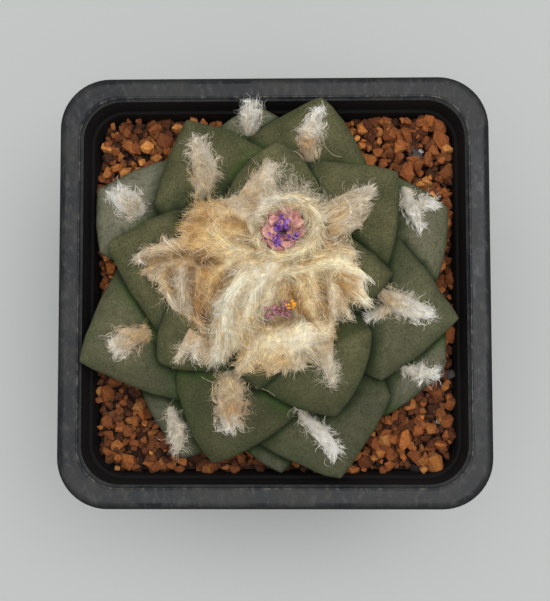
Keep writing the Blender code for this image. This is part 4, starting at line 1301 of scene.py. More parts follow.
# %% [markdown]
# The core is melted by a voxel remesh and gets ridges along the comb, so that light and shadow
# already run with the hairs. Hollows are pressed into it where the two flowers stand.

# %% Melting the core
# The dome under the locks is its middle, half length, half width, rise and heading in degrees.
DOME = ((-1, 2.2, 96.8), 15, 12.5, 5, 60)
CORE_SINK = 0.6 * MM
LEAST_HEIGHT = 2 * MM
CORE_VOXEL = 0.5 * MM

bm = bmesh.new()
middle, length, width, rise, heading = DOME
ball = bmesh.ops.create_icosphere(bm, subdivisions=4, radius=1)
bmesh.ops.scale(bm, verts=ball["verts"], vec=Vector((length, width, rise)) * MM)
place = Matrix.Translation(Vector(middle) * MM) @ Matrix.Rotation(math.radians(heading), 4, "Z")
bmesh.ops.transform(bm, verts=ball["verts"], matrix=place)
for points, start, end, *_ in CROWN_LOCKS:
    placed, _ = along_line(points, LOCK_STEPS)
    for share, (x, y, top) in zip(np.linspace(0, 1, LOCK_STEPS), placed * MM):
        width = (start + (end - start) * share) * MM
        seat = float(height_at(skin_map, np.array(x), np.array(y))) - CORE_SINK
        top = max(top, seat + LEAST_HEIGHT)
        half_height = (top - seat) / 2
        ball = bmesh.ops.create_icosphere(bm, subdivisions=3, radius=1)
        bmesh.ops.scale(bm, verts=ball["verts"], vec=(width, width, half_height))
        bmesh.ops.translate(bm, verts=ball["verts"], vec=(x, y, top - half_height))
core = new_object("crown_core", mesh_from("crown_core", bm))
melt = core.modifiers.new("melt", "REMESH")
melt.mode = "VOXEL"
melt.voxel_size = CORE_VOXEL
soften = core.modifiers.new("soften", "SMOOTH")
soften.factor = 0.6
soften.iterations = 4
core.data = applied(core)
print("crown core:", len(core.data.vertices), "points")

# %% [markdown]
# Then the core's upper side is moved up and down: lumps and ridges raise it, and the partings and
# the flowers' hollows press it down. The last height map lays the hairs on it.

# %% Crown core
WOOL_FOOT = 96 * MM
WOOL_EDGE = 4 * MM
LUMP_WIDTH = 3.4
LUMP_HEIGHT = 0.9 * MM
RIDGE_HEIGHT = 0.5 * MM
RIDGE_WIDTH = 1.5 * MM
RIDGE_LENGTH = 8 * MM
PARTING_STEPS = 30
PARTING_DEPTH = 1.9 * MM
PARTING_RADIUS = 1 * MM
FLOWER_SPOT = (2.4 * MM, 11.4 * MM)
SECOND_SPOT = (2.7 * MM, -5.6 * MM)
# Each hollow is its spot, its radius and its depth.
HOLLOWS = ((FLOWER_SPOT, 4.9 * MM, 5 * MM), (SECOND_SPOT, 2 * MM, 3.2 * MM))


def ridges(x, y, heading):
    """Noise drawn out along the comb, from -1 to 1."""
    along = (x * np.cos(heading) + y * np.sin(heading)) / RIDGE_LENGTH
    aside = (y * np.cos(heading) - x * np.sin(heading)) / RIDGE_WIDTH
    return np.array([noise.noise(Vector((a, b, 0))) for a, b in zip(along, aside)])


spots = vertices_of(core.data)
heading, _, _, _ = crown_comb(spots[:, 0], spots[:, 1])
lumps = np.array([noise.noise(Vector(spot) * per(LUMP_WIDTH)) for spot in spots]) * LUMP_HEIGHT
upper = np.clip((spots[:, 2] - WOOL_FOOT) / WOOL_EDGE, 0, 1)
spots[:, 2] += (lumps + RIDGE_HEIGHT * ridges(spots[:, 0], spots[:, 1], heading)) * upper
for (x, y), radius, depth in HOLLOWS:
    gap = np.hypot(spots[:, 0] - x, spots[:, 1] - y) / radius
    spots[:, 2] -= depth * np.exp(-(gap**4)) * upper
for parting in PARTINGS:
    line, _ = along_line(parting, PARTING_STEPS)
    gaps = ((spots[:, None, :2] - line[None] * MM) ** 2).sum(axis=2).min(axis=1)
    spots[:, 2] -= PARTING_DEPTH * np.exp(-gaps / PARTING_RADIUS**2) * upper
core.data.vertices.foreach_set("co", spots.ravel())
core.data.update()
core_map = height_map(core.data, skin_map)
print("wool up to", round(core_map.max() / MM, 1), "mm")

# %% [markdown]
# ## Combing
#
# Hairs grow in locks. One guide hair of each lock walks along the comb, with a turn, a bend and a
# wave of its own, and the others follow it and close in toward its tip.

# %% Guide hairs
def walk_guides(rng, starts, comb_at, style):
    """Each guide hair's line from its start, and its lock's looseness, lift and tone."""
    locks, points = len(starts), style["points"]
    spot = starts.copy()
    _, length, _, loose = comb_at(spot[:, 0], spot[:, 1])
    turn = rng.normal(0, math.radians(style["turn"]), locks) * (1 + 3 * loose)
    bend = rng.normal(0, math.radians(style["bend"]), locks) * (1 + 2 * loose)
    phase = rng.uniform(0, 2 * math.pi, locks)
    lock_size = rng.uniform(0.7, 1.2, locks)
    lift = rng.uniform(0, 1, locks) ** 1.3
    tone = rng.normal(0, 1, locks)
    steps = np.linspace(0, 1, points)
    stride = length * (1 - 0.4 * loose) * style["share"] * lock_size / (points - 1)
    walk = np.zeros((locks, points, 2))
    for k in range(1, points):
        heading, _, _, _ = comb_at(spot[:, 0], spot[:, 1])
        heading = heading + turn + bend * (steps[k] - 0.3)
        heading = heading + math.radians(style["wave"]) * np.sin(phase + 5 * steps[k])
        spot = spot + np.stack([np.cos(heading), np.sin(heading)], axis=1) * stride[:, None]
        walk[:, k] = spot - starts
    return walk, loose, lift, tone


print("guides are ready")

# %% [markdown]
# A hair rises in an arch from the wool and rests on it again. It may neither fall nor climb too
# steeply, or it would hang like a bar between a leaf and the one above.

# %% Heights of hairs
# The steepest climb of a hair, past which it slips under what lies before it.
MOST_CLIMB = 1.6
CLIMB_SLACK = 0.2 * MM
ROOT_SINK = 0.2 * MM
SKIN_GAP = 0.06 * MM


def lay_down(x, y, rise, ground, drop):
    """Heights of hairs that rise over the ground. Drop is their steepest fall."""
    arch = np.sin(math.pi * np.minimum(1, np.linspace(0, 1, x.shape[1]) * 0.85 + 0.05))
    z = height_at(ground, x, y) - ROOT_SINK + rise[:, None] * arch
    stride = np.hypot(np.diff(x, axis=1), np.diff(y, axis=1))
    fall = drop * stride
    for k in range(1, x.shape[1]):
        z[:, k] = np.maximum(z[:, k], z[:, k - 1] - fall[:, k - 1])
    z = np.maximum(z, height_at(skin_map, x, y) + SKIN_GAP)
    climb = CLIMB_SLACK + MOST_CLIMB * stride
    for k in range(1, x.shape[1]):
        z[:, k] = np.minimum(z[:, k], z[:, k - 1] + climb[:, k - 1])
    return z


print("the steepest climb is", round(math.degrees(math.atan(MOST_CLIMB))), "degrees")

# %% [markdown]
# The middle of a lock stands highest, and a hair that would leave the wool is cut a little past
# its edge. Wool is where the ground lies clearly over the skin.

# %% Combing hairs
WOOL_LEAST = 0.4 * MM
SHORTEST = 0.12


def comb_hairs(rng, roots, comb_at, ground, style):
    """Paths of hairs, how high each stands in its lock, and the tone of its lock.

    style holds points, the points of a hair; share, of the comb's length; per_lock, the hairs in
    a lock; turn and bend, the spread of a lock's heading and curve in degrees; stray, that of a
    hair in its lock; draw, how far a lock closes at its tip; wave, in degrees; lift, the lowest
    and highest rise over the ground; drop, the steepest fall of a hair; and past, how far a
    hair may pass the wool's edge.
    """
    count, points = len(roots), style["points"]
    flat = roots[:, :2]
    guides = rng.choice(count, max(3, count // style["per_lock"]), replace=False)
    lock = ((flat[:, None] - flat[None, guides]) ** 2).sum(axis=2).argmin(axis=1)
    walk, loose, lock_lift, lock_tone = walk_guides(rng, flat[guides], comb_at, style)
    steps = np.linspace(0, 1, points)
    stray = rng.normal(0, math.radians(style["stray"]), count)[:, None] * (0.4 + steps)
    guide_x, guide_y = walk[lock, :, 0], walk[lock, :, 1]
    walk_x = guide_x * np.cos(stray) - guide_y * np.sin(stray)
    walk_y = guide_x * np.sin(stray) + guide_y * np.cos(stray)
    to_guide = flat[guides][lock] - flat
    drawn = to_guide[:, None, :] * (style["draw"] * steps**1.3)[None, :, None]

    def laid(stretch):
        """The hairs in plan, each stretched by its own factor."""
        x = flat[:, 0:1] + walk_x * stretch[:, None] + drawn[:, :, 0]
        y = flat[:, 1:2] + walk_y * stretch[:, None] + drawn[:, :, 1]
        return x, y

    stretch = rng.uniform(0.7, 1.1, count)
    x, y = laid(stretch)
    wool_there = height_at(ground, x, y) - height_at(skin_map, x, y) > WOOL_LEAST
    inside = np.cumprod(wool_there, axis=1).sum(axis=1) / points
    reach = np.hypot(walk_x[:, -1], walk_y[:, -1]) + 0.1 * MM
    cut = inside + rng.uniform(0.2, 1, count) * style["past"] / reach
    x, y = laid(stretch * np.clip(cut, SHORTEST, 1))

    low, high = style["lift"]
    gap = np.hypot(*to_guide.T)
    crest = np.clip(1 - (gap / (1.5 * np.median(gap))) ** 2, 0, 1)
    stand = lock_lift[lock] * (0.25 + 0.75 * crest) * rng.uniform(0.7, 1.2, count)
    rise = low + (high - low) * stand * (1 - 0.5 * loose[lock])
    z = lay_down(x, y, rise, ground, style["drop"])
    return np.stack([x, y, z], axis=2), stand, lock_tone[lock]


print("combing is ready")

# %% [markdown]
# Roots are spread over the wool's upper side by area. A hair is darkest and warmest at its root,
# where little light comes in, and lightest at its tip.

# %% Roots and tints
UPWARD = 0.15
LOCK_CONTRAST = 0.1
HAIR_CONTRAST = 0.15
ROOT_TONE = 0.74
TIP_GAIN = 0.36
ROOT_WARMTH = np.array([1, 0.94, 0.8])
BRIGHTEST = 0.98


def tint_hairs(rng, base, stand, tone, points):
    """Colours along each hair: dark at the root and low in its lock, light at the tip."""
    steps = np.linspace(0, 1, points)
    spread = rng.normal(0, HAIR_CONTRAST, len(tone))
    own = (0.95 + 0.28 * stand) * (1 + LOCK_CONTRAST * tone + spread)
    along = ROOT_TONE + TIP_GAIN * steps**0.6
    colour = base[:, None, :] * (own[:, None] * along)[:, :, None]
    warmth = ROOT_WARMTH[None, None, :] ** (0.8 * (1 - steps))[None, :, None]
    return np.clip(colour * warmth, 0, BRIGHTEST)


def scatter_on(rng, mesh, count, lowest):
    """Random points on the mesh's upward faces above a height."""
    mesh.calc_loop_triangles()
    corners = np.empty(len(mesh.loop_triangles) * 3, np.int32)
    mesh.loop_triangles.foreach_get("vertices", corners)
    a, b, c = vertices_of(mesh)[corners.reshape(-1, 3)].transpose(1, 0, 2)
    cross = np.cross(b - a, c - a)
    area = np.linalg.norm(cross, axis=1)
    open_sky = (cross[:, 2] / (area + 1e-12) > UPWARD) & (a[:, 2] > lowest)
    above = a[:, 2] > height_at(skin_map, a[:, 0], a[:, 1]) - ROOT_SINK
    share = np.where(open_sky & above, area, 0)
    pick = rng.choice(len(share), count, p=share / share.sum())
    u, v = rng.random((2, count, 1))
    flip = u + v > 1
    u, v = np.where(flip, 1 - u, u), np.where(flip, 1 - v, v)
    return a[pick] + u * (b[pick] - a[pick]) + v * (c[pick] - a[pick])


print("roots and tints are ready")

# %% [markdown]
# The crown has five coats, from a felted underwool to a few long threads on top. Its valleys are
# shaded warm and dark, in the hairs as in the core.

# %% Crown hairs
CROWN_SEED = 41
VALLEY_SHADE = np.array([0.38, 0.5, 0.68])
VALLEY_RADIUS = 1.8 * MM
CORE_SHADE = 0.74
THREAD_WHITE = 0.5
# Each coat is a name, its number of hairs, the hairs' radius in millimetres and its style.
CROWN_COATS = (
    ("crown_underwool", 5000, 0.07,
     dict(points=4, share=0.5, per_lock=14, turn=18, bend=30, stray=10, draw=0.3, wave=20,
          lift=(0.1 * MM, 0.6 * MM), drop=0.9, past=1.4 * MM)),
    ("crown_locks", 5600, 0.052,
     dict(points=6, share=1, per_lock=40, turn=7, bend=14, stray=5, draw=0.6, wave=8,
          lift=(0.2 * MM, 1.5 * MM), drop=0.8, past=2.2 * MM)),
    ("crown_curls", 6600, 0.045,
     dict(points=5, share=0.65, per_lock=18, turn=12, bend=26, stray=6, draw=0.6, wave=16,
          lift=(0.2 * MM, 1.5 * MM), drop=0.8, past=2.4 * MM)),
    ("crown_flyaways", 2400, 0.028,
     dict(points=5, share=0.9, per_lock=3, turn=34, bend=50, stray=12, draw=0.1, wave=40,
          lift=(0.4 * MM, 2.4 * MM), drop=0.5, past=4 * MM)),
    ("crown_threads", 450, 0.04,
     dict(points=7, share=0.9, per_lock=5, turn=14, bend=50, stray=8, draw=0.4, wave=24,
          lift=(1 * MM, 2 * MM), drop=0.6, past=2 * MM)),
)


def crown_tone(spots):
    """The crown's tone at points: its comb's, with its stains and painted shadows, and painted shade in its
    valleys.
    """
    _, _, base, _ = crown_comb(spots[:, 0], spots[:, 1])
    base = stained_and_shaded(base, spots[:, 0], spots[:, 1])
    return base * (1 - sunken(core_map, spots, VALLEY_RADIUS)[:, None] * VALLEY_SHADE)


rng = np.random.default_rng(CROWN_SEED)
for name, count, radius, style in CROWN_COATS:
    roots = scatter_on(rng, core.data, count, WOOL_FOOT)
    paths, stand, tone = comb_hairs(rng, roots, crown_comb, core_map, style)
    base = crown_tone(roots)
    if name == "crown_threads":
        base = base * (1 - THREAD_WHITE) + WOOL_TONES["white"] * THREAD_WHITE
    tints = tint_hairs(rng, base, stand, tone, style["points"])
    radii = radius * MM * rng.uniform(0.8, 1.25, count)
    hairs = sweep_hairs(name, paths, radii, tints)
    make_piece(hairs, wool, ["crown_wool"], 80)

paint(core.data, "tint", crown_tone(vertices_of(core.data)) * CORE_SHADE)
make_piece(core, wool, ["crown_wool"], 80)

# %% [markdown]
# Round the crown lie loose hairs. A halo of fine ones spreads over the leaves in tresses, each
# with a short comb line of its own.

# %% Halo
# Each tress of the halo is (x, y, heading in degrees, half width, hairs). Lengths are in
# millimetres.
HALO = (
    (1.6, 19.4, 96, 2.4, 260), (6, 19.4, 66, 2.6, 300), (9.8, 17, 38, 2.2, 220),
    (-6.4, 17, 130, 1.8, 120), (2, 24, 70, 1.8, 80), (11, -16.8, -110, 1.2, 110),
    (12.6, -17.4, -40, 1.2, 110), (12.4, -19.6, -74, 1.3, 200), (-18.4, -13.4, -130, 1.2, 90),
    (-14.4, -13.4, -60, 1.2, 90),
)
HALO_LENGTH = 3.4
HALO_RADIUS = 0.02
TRESS_LINE = 3
HALO_STYLE = dict(
    points=5, share=1, per_lock=2, turn=30, bend=30, stray=14, draw=0, wave=40,
    lift=(0.3 * MM, 2 * MM), drop=0.5, past=9 * MM,
)
LOOSE_SEED = 23

rng = np.random.default_rng(LOOSE_SEED)
tresses, roots = [], []
for x, y, heading, width, hairs in HALO:
    angle = math.radians(heading)
    end = (x + TRESS_LINE * math.cos(angle), y + TRESS_LINE * math.sin(angle), 0)
    tresses.append((((x, y, 0), end), width, width, HALO_LENGTH, 1, "ash", "white", 0.6))
    roots.append(rng.normal((x, y), 0.6 * width, (hairs, 2)))
halo_comb = make_comb(tresses)
roots = np.concatenate(roots) * MM
roots = np.column_stack([roots, height_at(core_map, roots[:, 0], roots[:, 1])])
paths, stand, tone = comb_hairs(rng, roots, halo_comb, core_map, HALO_STYLE)
base = np.repeat(WOOL_TONES["ash"][None], len(roots), axis=0)
tints = tint_hairs(rng, base, stand, tone, HALO_STYLE["points"])
radii = HALO_RADIUS * MM * rng.uniform(0.8, 1.25, len(roots))
halo = sweep_hairs("crown_halo", paths, radii, tints)
make_piece(halo, wool, ["crown_wool"], 80)
print(len(roots), "hairs in the halo")

# %% [markdown]
# The long fibres are too few to comb. Each has its own line, raised a little over what it crosses.

# %% Loose fibres
# Each fibre is the points of its line in plan, in millimetres.
FIBRES = (
    ((-15.5, -19.4), (-13.4, -20.6), (-11.4, -20.9), (-8, -22), (-4, -21.4), (-1, -22.4),
     (1.4, -24.2), (3.9, -25.4)),
    ((15.2, 28.9), (13.4, 29.2), (11.6, 31), (10.9, 33.8), (10.6, 36.4)),
    ((20.5, -7.6), (22.8, -6.2), (25.4, -7), (28.4, -6.4)),
    ((32.5, 11.3), (33, 13.8), (32.2, 16.2), (33.2, 18.4)),
    ((-10.6, 18.8), (-12.4, 20.2), (-14.2, 19.4), (-15.6, 21)),
)
FIBRE_POINTS = 16
FIBRE_RADIUS = 0.045 * MM
FIBRE_LIFT = 0.35 * MM

lines = [along_line([(*spot, 0) for spot in line], FIBRE_POINTS)[0] for line in FIBRES]
laid = np.array(lines) * MM
laid[:, :, 2] = height_at(core_map, laid[:, :, 0], laid[:, :, 1]) + FIBRE_LIFT
tints = np.tile(WOOL_TONES["fawn"], (len(FIBRES), FIBRE_POINTS, 1))
fibres = sweep_hairs("crown_fibres", laid, np.full(len(FIBRES), FIBRE_RADIUS), tints)
make_piece(fibres, wool, ["crown_wool"], 80)
print(len(FIBRES), "long fibres")

# %% [markdown]
# ## The tufts
#
# Every grown tubercle has a furrow from which wool wells up and spreads toward its tip. A tuft is
# a pad that lies along the furrow, and three lines comb its hairs: one along the middle and one
# along each side.

# %% The tufts' table
# Each tuft is (solid, points of its middle line in plan, half widths at its start, middle and
# end, height of the pad, number of hairs, tones at both ends). A lobe is a second line of the
# same tuft. Lengths are in millimetres.
TUFTS = (
    ("north", ((-5.9, 35), (-5.4, 39.4), (-4.9, 43.2)), (1.4, 2.8, 2.6), 1.8, 560, "ash", "white"),
    ("north_east", ((8.4, 27.8), (7.4, 32.2), (10.4, 40)), (1.8, 3.2, 1.7), 2.4, 860, "fawn", "white"),
    ("north_west", ((-16.2, 19.2), (-14.2, 24.6), (-17, 33)), (2.2, 3.8, 2.2), 2.6, 1050, "fawn", "ash"),
    ("west_north", ((-29.4, 17.4), (-33.2, 20.4), (-37, 22.4)), (2.8, 4, 2.6), 1.6, 700, "ash", "white"),
    ("east_north", ((28.8, 22.8), (30.4, 18.8), (32.8, 12.8)), (1.3, 2.3, 0.8), 1.6, 420, "ash", "white"),
    ("east_north_lobe", ((30.6, 18.4), (33.4, 18.8), (36.4, 19.2)), (1.8, 1.8, 1.3), 1.4, 260,
     "ash", "white"),
    ("east", ((21.8, -0.4), (28, -4), (34.8, -6)), (1.8, 3.1, 2.4), 2.4, 920, "fawn", "white"),
    ("east_lobe", ((26, -3.4), (23.2, -5.4), (20.4, -7.2)), (1.4, 1.2, 0.4), 1, 400, "fawn", "white"),
    ("east_south", ((28.2, -17.4), (32, -18.4), (36.4, -18.8)), (1.2, 1.9, 1.7), 1.4, 420, "ash", "white"),
    ("south_east", ((4.4, -25.8), (9.8, -31), (14, -36.4)), (0.5, 2.1, 2.4), 1.8, 560, "ash", "white"),
    ("south", ((-9.2, -18), (-9.2, -23.6), (-9.4, -31)), (3.8, 3.9, 3), 3, 1200, "tan", "ash"),
    ("south_west", ((-23.4, -26), (-21.4, -31), (-21.8, -36)), (1.3, 2.1, 2), 1.2, 560, "ash", "ash"),
    ("west_south", ((-26.6, -9.6), (-31.4, -10.8), (-35.8, -13.4)), (1.4, 3.1, 3.3), 2.2, 860, "tan", "ash"),
)
print(len(TUFTS), "tufts and lobes")

# %% [markdown]
# A leaf passes under its neighbour, where the height map shows the neighbour instead. Heights of
# the tuft's own leaf are therefore followed inward from its tip, and the pad keeps to them.

# %% Pads of the tufts
LEAF_RISE = 1 * MM
PAD_CLIMB = 0.8 * MM
PAD_FILL = 0.72
PAD_BLUNTNESS = 0.2


def own_leaf(placed):
    """Heights of the tuft's own leaf along the middle line, also where another leaf covers it."""
    ground = height_at(skin_map, placed[:, 0] * MM, placed[:, 1] * MM)
    for k in range(len(ground) - 2, -1, -1):
        ground[k] = min(ground[k], ground[k + 1] + LEAF_RISE)
    return ground


def tuft_pad(name, placed, widths, slopes, height, ground):
    """A small pad of wool that lies on its leaf along its middle line."""
    shares = np.linspace(0, 1, len(placed))
    bm = bmesh.new()
    bmesh.ops.create_uvsphere(bm, u_segments=36, v_segments=18, radius=1)
    for vert in bm.verts:
        share = (vert.co.x + 1) / 2
        x, y = (np.interp(share, shares, column) for column in placed[:, :2].T)
        slope_x, slope_y = (np.interp(share, shares, column) for column in slopes.T)
        blunt = max(1 - vert.co.x**2, 0.01) ** -PAD_BLUNTNESS
        side = vert.co.y * np.interp(share, shares, widths) * blunt * PAD_FILL
        spot = Vector(((x - slope_y * side) * MM, (y + slope_x * side) * MM, 0))
        ragged = 0.6 * noise.noise(spot * per(1.6))
        seat = float(height_at(skin_map, np.array(spot.x), np.array(spot.y)))
        seat = min(seat, np.interp(share, shares, ground) + PAD_CLIMB)
        swell = max(vert.co.z, 0) * 0.8 * height * (1 + ragged)
        spot.z = seat + (0.1 + 0.2 * vert.co.z + swell) * MM
        vert.co = spot
    return new_object(name, mesh_from(name, bm))


print("pads are ready")

# %% [markdown]
# A tuft's comb fans out toward the tip. Its roots lie on the pad, and those that would stand on a
# leaf above are left out.

# %% Comb and roots of a tuft
TUFT_HAIR = 3.8
TUFT_LOOSE = 0.3
TUFT_COVER = 1.6


def tuft_comb(placed, slopes, widths, near, far):
    """A comb of three lines: one along the middle of the tuft and one along each side."""
    lines = []
    for side in (-0.5, 0, 0.5):
        spread = side * widths * (1 + abs(side)) * np.linspace(0.4, 1.5, LOCK_STEPS)
        line = [
            (x - slope_y * gap, y + slope_x * gap, 0)
            for (x, y, _), (slope_x, slope_y), gap in zip(placed, slopes, spread)
        ]
        start, end = 0.8 * widths[0], 0.8 * widths[-1]
        lines.append((line, start, end, TUFT_HAIR, 1, near, far, TUFT_LOOSE))
    return make_comb(lines)


def tuft_roots(rng, count, placed, slopes, widths, pad_map, top):
    """Random roots on the pad round its middle line, none above the top given along the line."""
    shares = np.linspace(0, 1, LOCK_STEPS)
    share = rng.beta(1.1, 1.2, count)
    side = np.clip(rng.normal(0, 0.5, count), -1, 1) * np.interp(share, shares, widths)
    x, y, slope_x, slope_y = (
        np.interp(share, shares, column) for column in (*placed[:, :2].T, *slopes.T)
    )
    x, y = (x - slope_y * side) * MM, (y + slope_x * side) * MM
    roots = np.stack([x, y, height_at(pad_map, x, y)], axis=1)
    return roots[roots[:, 2] < np.interp(share, shares, top)]


print("a tuft's hairs are up to", TUFT_HAIR, "mm long")

# %% [markdown]
# Each tuft has combed wool and a little looser fuzz, in tones that differ from lock to lock.

# %% Tufts
TUFT_SEED = 8
TUFT_HAIR_RADIUS = 0.045
TUFT_SHADE = 0.88
TUFT_MOTTLE = 0.1
PAD_SHADE = 0.62
WOOL_STYLE = dict(
    points=5, share=1, per_lock=18, turn=16, bend=30, stray=6, draw=0.6, wave=24,
    lift=(0.1 * MM, 1.3 * MM), drop=0.7, past=2.2 * MM,
)
FUZZ_STYLE = dict(
    points=5, share=1, per_lock=2, turn=40, bend=40, stray=10, draw=0, wave=40,
    lift=(0.3 * MM, 1.8 * MM), drop=0.4, past=4 * MM,
)
# Each part of a tuft is its name, its share of the hairs, their thickness and their style.
TUFT_PARTS = (("wool", 0.8, 1, WOOL_STYLE), ("fuzz", 0.2, 0.6, FUZZ_STYLE))

rng = np.random.default_rng(TUFT_SEED)
for label, points, widths, height, count, near, far in TUFTS:
    name, solid = "tuft_" + label, "wool_tuft_" + label.removesuffix("_lobe")
    placed, slopes = along_line([(*point, 0) for point in points], LOCK_STEPS)
    widths = np.interp(np.linspace(0, 1, LOCK_STEPS), (0, 0.5, 1), widths)
    comb_at = tuft_comb(placed, slopes, widths, near, far)
    ground = own_leaf(placed)
    pad = tuft_pad(name + "_pad", placed, widths, slopes, height, ground)
    pad_map = height_map(pad.data, skin_map)
    top = ground + (height + TUFT_COVER) * MM
    for part, part_share, thickness, style in TUFT_PARTS:
        roots = tuft_roots(rng, int(count * part_share), placed, slopes, widths, pad_map, top)
        x, y = roots[:, 0], roots[:, 1]
        paths, stand, tone = comb_hairs(rng, roots, comb_at, pad_map, style)
        _, _, base, _ = comb_at(x, y)
        mottle = np.clip(TUFT_SHADE + TUFT_MOTTLE * rng.normal(0, 1, len(roots)), 0.5, 1.1)
        base = mottle[:, None] * stained_and_shaded(base, x, y)
        tints = tint_hairs(rng, base, stand, tone, style["points"])
        radii = TUFT_HAIR_RADIUS * thickness * MM * rng.uniform(0.8, 1.25, len(roots))
        hairs = sweep_hairs(name + "_" + part, paths, radii, tints)
        make_piece(hairs, wool, [solid], 80)
    spots = vertices_of(pad.data)
    _, _, base, _ = comb_at(spots[:, 0], spots[:, 1])
    paint(pad.data, "tint", stained_and_shaded(base, spots[:, 0], spots[:, 1]) * PAD_SHADE)
    make_piece(pad, wool, [solid], 80)

# %% [markdown]
# ## The flowers
#
# The open flower is a cup of salmon tepals round crumpled violet petals, sunk in the wool. Each
# petal is a ball pressed flat: its width narrows to the foot, it leans and curls out, its sides
# are cupped, and noise crumples it.

# %% Petals
FLOWER_SEED = 12
PETAL_THICKNESS = 0.14 * MM

rng = np.random.default_rng(FLOWER_SEED)
# The crumple's vector noise has offsets of its own. The clock would set them, so they are seeded.
noise.seed_set(FLOWER_SEED)


def petal_into(bm, length, width, lean, curl, cup, crumple, place):
    """Adds a petal that stands on its foot and leans out along +X, moved by the matrix."""
    made = bmesh.ops.create_uvsphere(bm, u_segments=14, v_segments=9, radius=1)
    wander = Vector(rng.uniform(0, 50, 3))
    for vert in made["verts"]:
        side, t, through = vert.co.x, (vert.co.y + 1) / 2, vert.co.z * PETAL_THICKNESS
        angle = lean + curl * t
        wide = width * side * (0.7 + 0.5 * t)
        cupped = cup * side * side * width
        out = length * t * math.sin(angle) - cupped + through * math.cos(angle)
        up = length * t * math.cos(angle) - through * math.sin(angle)
        rough = noise.noise_vector(Vector((side * 1.2, t * 2, 0)) + wander) * crumple * t
        vert.co = Vector((out, wide, up)) + rough
    bmesh.ops.transform(bm, verts=made["verts"], matrix=place)


def on_ring(spot, foot, radius, bearing):
    """Where a petal stands on a ring, turned to lean out along its bearing."""
    out = Vector((radius * math.cos(bearing), radius * math.sin(bearing), 0))
    return Matrix.Translation(Vector((*spot, foot)) + out) @ Matrix.Rotation(bearing, 4, "Z")


def petals(name, spot, rows):
    """Rows of petals, all a little uneven.

    A row is (count, ring, foot, length, width, lean, curl, cup, crumple), in millimetres and
    degrees. Each row is turned half a petal further than the one before.
    """
    bm = bmesh.new()
    for half_turns, (count, ring, foot, length, width, lean, curl, cup, crumple) in enumerate(rows):
        for number in range(count):
            place = number + 0.5 * half_turns + rng.uniform(-0.25, 0.25)
            bearing = 2 * math.pi * place / count
            petal_into(
                bm, length * MM * rng.uniform(0.82, 1.15), width * MM * rng.uniform(0.8, 1.2),
                math.radians(lean + rng.uniform(-10, 10)), math.radians(curl + rng.uniform(-14, 14)),
                cup, crumple * MM, on_ring(spot, foot * MM, ring * MM, bearing),
            )
    return new_object(name, mesh_from(name, bm))


print("a petal is", round(2 * PETAL_THICKNESS / MM, 2), "mm thick")

# %% [markdown]
# The open flower stands in the larger hollow. The small one lies half hidden under the long lock,
# so a few of its petals are placed apart, beyond the lock.

# %% Flowers
tepals = petals("open_flower_tepals", FLOWER_SPOT, (
    (9, 2.2, 99.6, 4.6, 1.9, 36, 6, 0.35, 0.6),
    (7, 1.5, 100.2, 3.9, 1.6, 26, 8, 0.35, 0.7),
    (6, 0.7, 100.6, 2.4, 1, 14, 30, 0.3, 0.9),
))
crumpled = petals("open_flower_petals", FLOWER_SPOT, (
    (4, 2.2, 101.4, 2, 0.44, 0, 66, 0.7, 1.9),
    (4, 1.2, 101.8, 2.1, 0.42, -6, 60, 0.7, 2),
    (2, 0.4, 102, 1.8, 0.4, 0, 50, 0.7, 1.6),
))
second = petals("second_flower_bits", SECOND_SPOT, (
    (5, 0.5, 101.2, 1.6, 0.42, 10, 50, 0.6, 0.9),
    (4, 0.2, 101.4, 1.7, 0.38, 0, 40, 0.6, 1),
))
hidden_spot = (SECOND_SPOT[0] - 3 * MM, SECOND_SPOT[1] - 0.4 * MM)
hidden = petals("second_flower_hidden_bits", hidden_spot, (
    (5, 0.4, 102.8, 1.4, 0.38, 16, 50, 0.6, 0.9),
))
print("open flower:", len(tepals.data.polygons) + len(crumpled.data.polygons), "faces")

# %% [markdown]
# Anthers are grains on thin stalks. The open flower's are plum specks among the petals, and the
# small flower's are bright orange.

# %% Anthers
STALK_RADIUS = 0.07 * MM


def anthers(name, spot, count, reach, foot, length, size):
    """Small grains on thin stalks, scattered round the spot. Lengths are in millimetres."""
    bm = bmesh.new()
    for _ in range(count):
        bearing = rng.uniform(0, 2 * math.pi)
        gap = reach * MM * math.sqrt(rng.uniform(0, 1))
        tip = Vector((
            spot[0] + gap * math.cos(bearing), spot[1] + gap * math.sin(bearing),
            (foot + length * rng.uniform(0.85, 1.1)) * MM,
        ))
        grain = bmesh.ops.create_icosphere(bm, subdivisions=2, radius=1)
        bmesh.ops.scale(bm, verts=grain["verts"], vec=Vector((1, 0.55, 0.5)) * size * MM)
        turn = Matrix.Rotation(rng.uniform(0, 6.28), 4, "Z")
        bmesh.ops.transform(bm, verts=grain["verts"], matrix=Matrix.Translation(tip) @ turn)
        stalk = bmesh.ops.create_cone(
            bm, cap_ends=True, segments=5, radius1=STALK_RADIUS, radius2=STALK_RADIUS,
            depth=length * MM,
        )
        middle = (tip.x, tip.y, tip.z - length * MM / 2)
        bmesh.ops.translate(bm, verts=stalk["verts"], vec=middle)
    return new_object(name, mesh_from(name, bm))


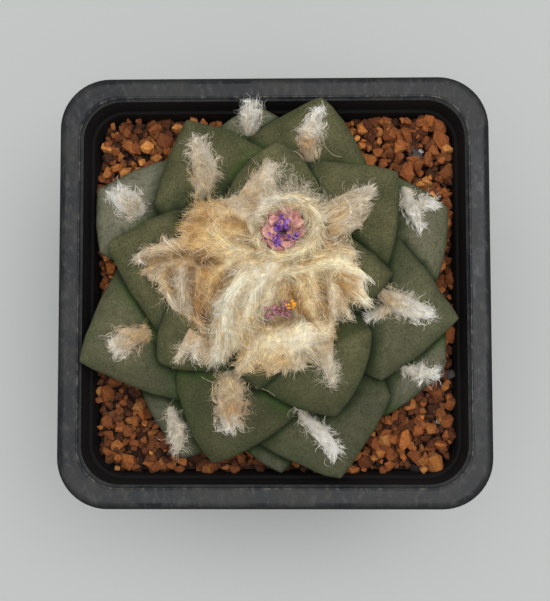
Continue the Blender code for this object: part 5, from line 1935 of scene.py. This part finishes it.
specks = anthers("open_flower_specks", FLOWER_SPOT, 22, 1.9, 100.2, 2.6, 0.28)
stamens_spot = (SECOND_SPOT[0] + 1.3 * MM, SECOND_SPOT[1] + 1.2 * MM)
stamens = anthers("second_flower_anthers", stamens_spot, 13, 1, 101.6, 3.2, 0.34)
print("grains and stalks:", len(specks.data.polygons) + len(stamens.data.polygons), "faces")

# %% [markdown]
# Petals are thin and soft: matte, a little translucent, and mottled between two tones.

# %% Petal finishes
def petal_finish(name, low, high, speck_size):
    """A soft finish, mottled from a low to a high tone in specks of a size in millimetres."""
    material, shader = new_material(name, 0.6)
    where = add_node(material, "ShaderNodeTexCoord").outputs["Object"]
    mottle = add_node(
        material, "ShaderNodeTexNoise", {"Vector": where, "Scale": per(speck_size), "Detail": 4},
    ).outputs["Fac"]
    share = add_node(
        material, "ShaderNodeMapRange", {"Value": mottle, "From Min": 0.35, "From Max": 0.65},
    ).outputs["Result"]
    colour = add_node(
        material, "ShaderNodeMix", {0: share, 6: linear(low), 7: linear(high)}, data_type="RGBA",
    ).outputs[2]
    material.node_tree.links.new(colour, shader.inputs["Base Color"])
    shader.inputs["Subsurface Weight"].default_value = 0.15
    shader.inputs["Subsurface Radius"].default_value = (1 * MM, 0.5 * MM, 0.4 * MM)
    return material


salmon = petal_finish("salmon_tepal", "#ac6866", "#e4b0a2", 1.2)
violet = petal_finish("crumpled_violet_petal", "#5a2a80", "#a070cc", 0.8)
plum = petal_finish("plum_speck", "#5a2c50", "#8a5468", 0.4)
mauve = petal_finish("mauve_petal", "#6e3644", "#b88488", 0.5)
orange = petal_finish("orange_anther", "#e08a10", "#f6b020", 0.4)
make_piece(tepals, salmon, ["flower_outer_tepals"], 60)
make_piece(crumpled, violet, ["flower_inner_petals"], 60)
make_piece(specks, plum, ["flower_inner_petals"], 60)
make_piece(second, mauve, ["second_flower_petals"], 60)
make_piece(hidden, mauve, ["second_flower_petals"], 60)
make_piece(stamens, orange, ["second_flower_stamens"], 60)

# %% [markdown]
# ## Tidying up
#
# The curve that shaped the hairs isn't part of the plant, so it goes.

# %% Removing the hair section
bpy.data.objects.remove(hair_section)
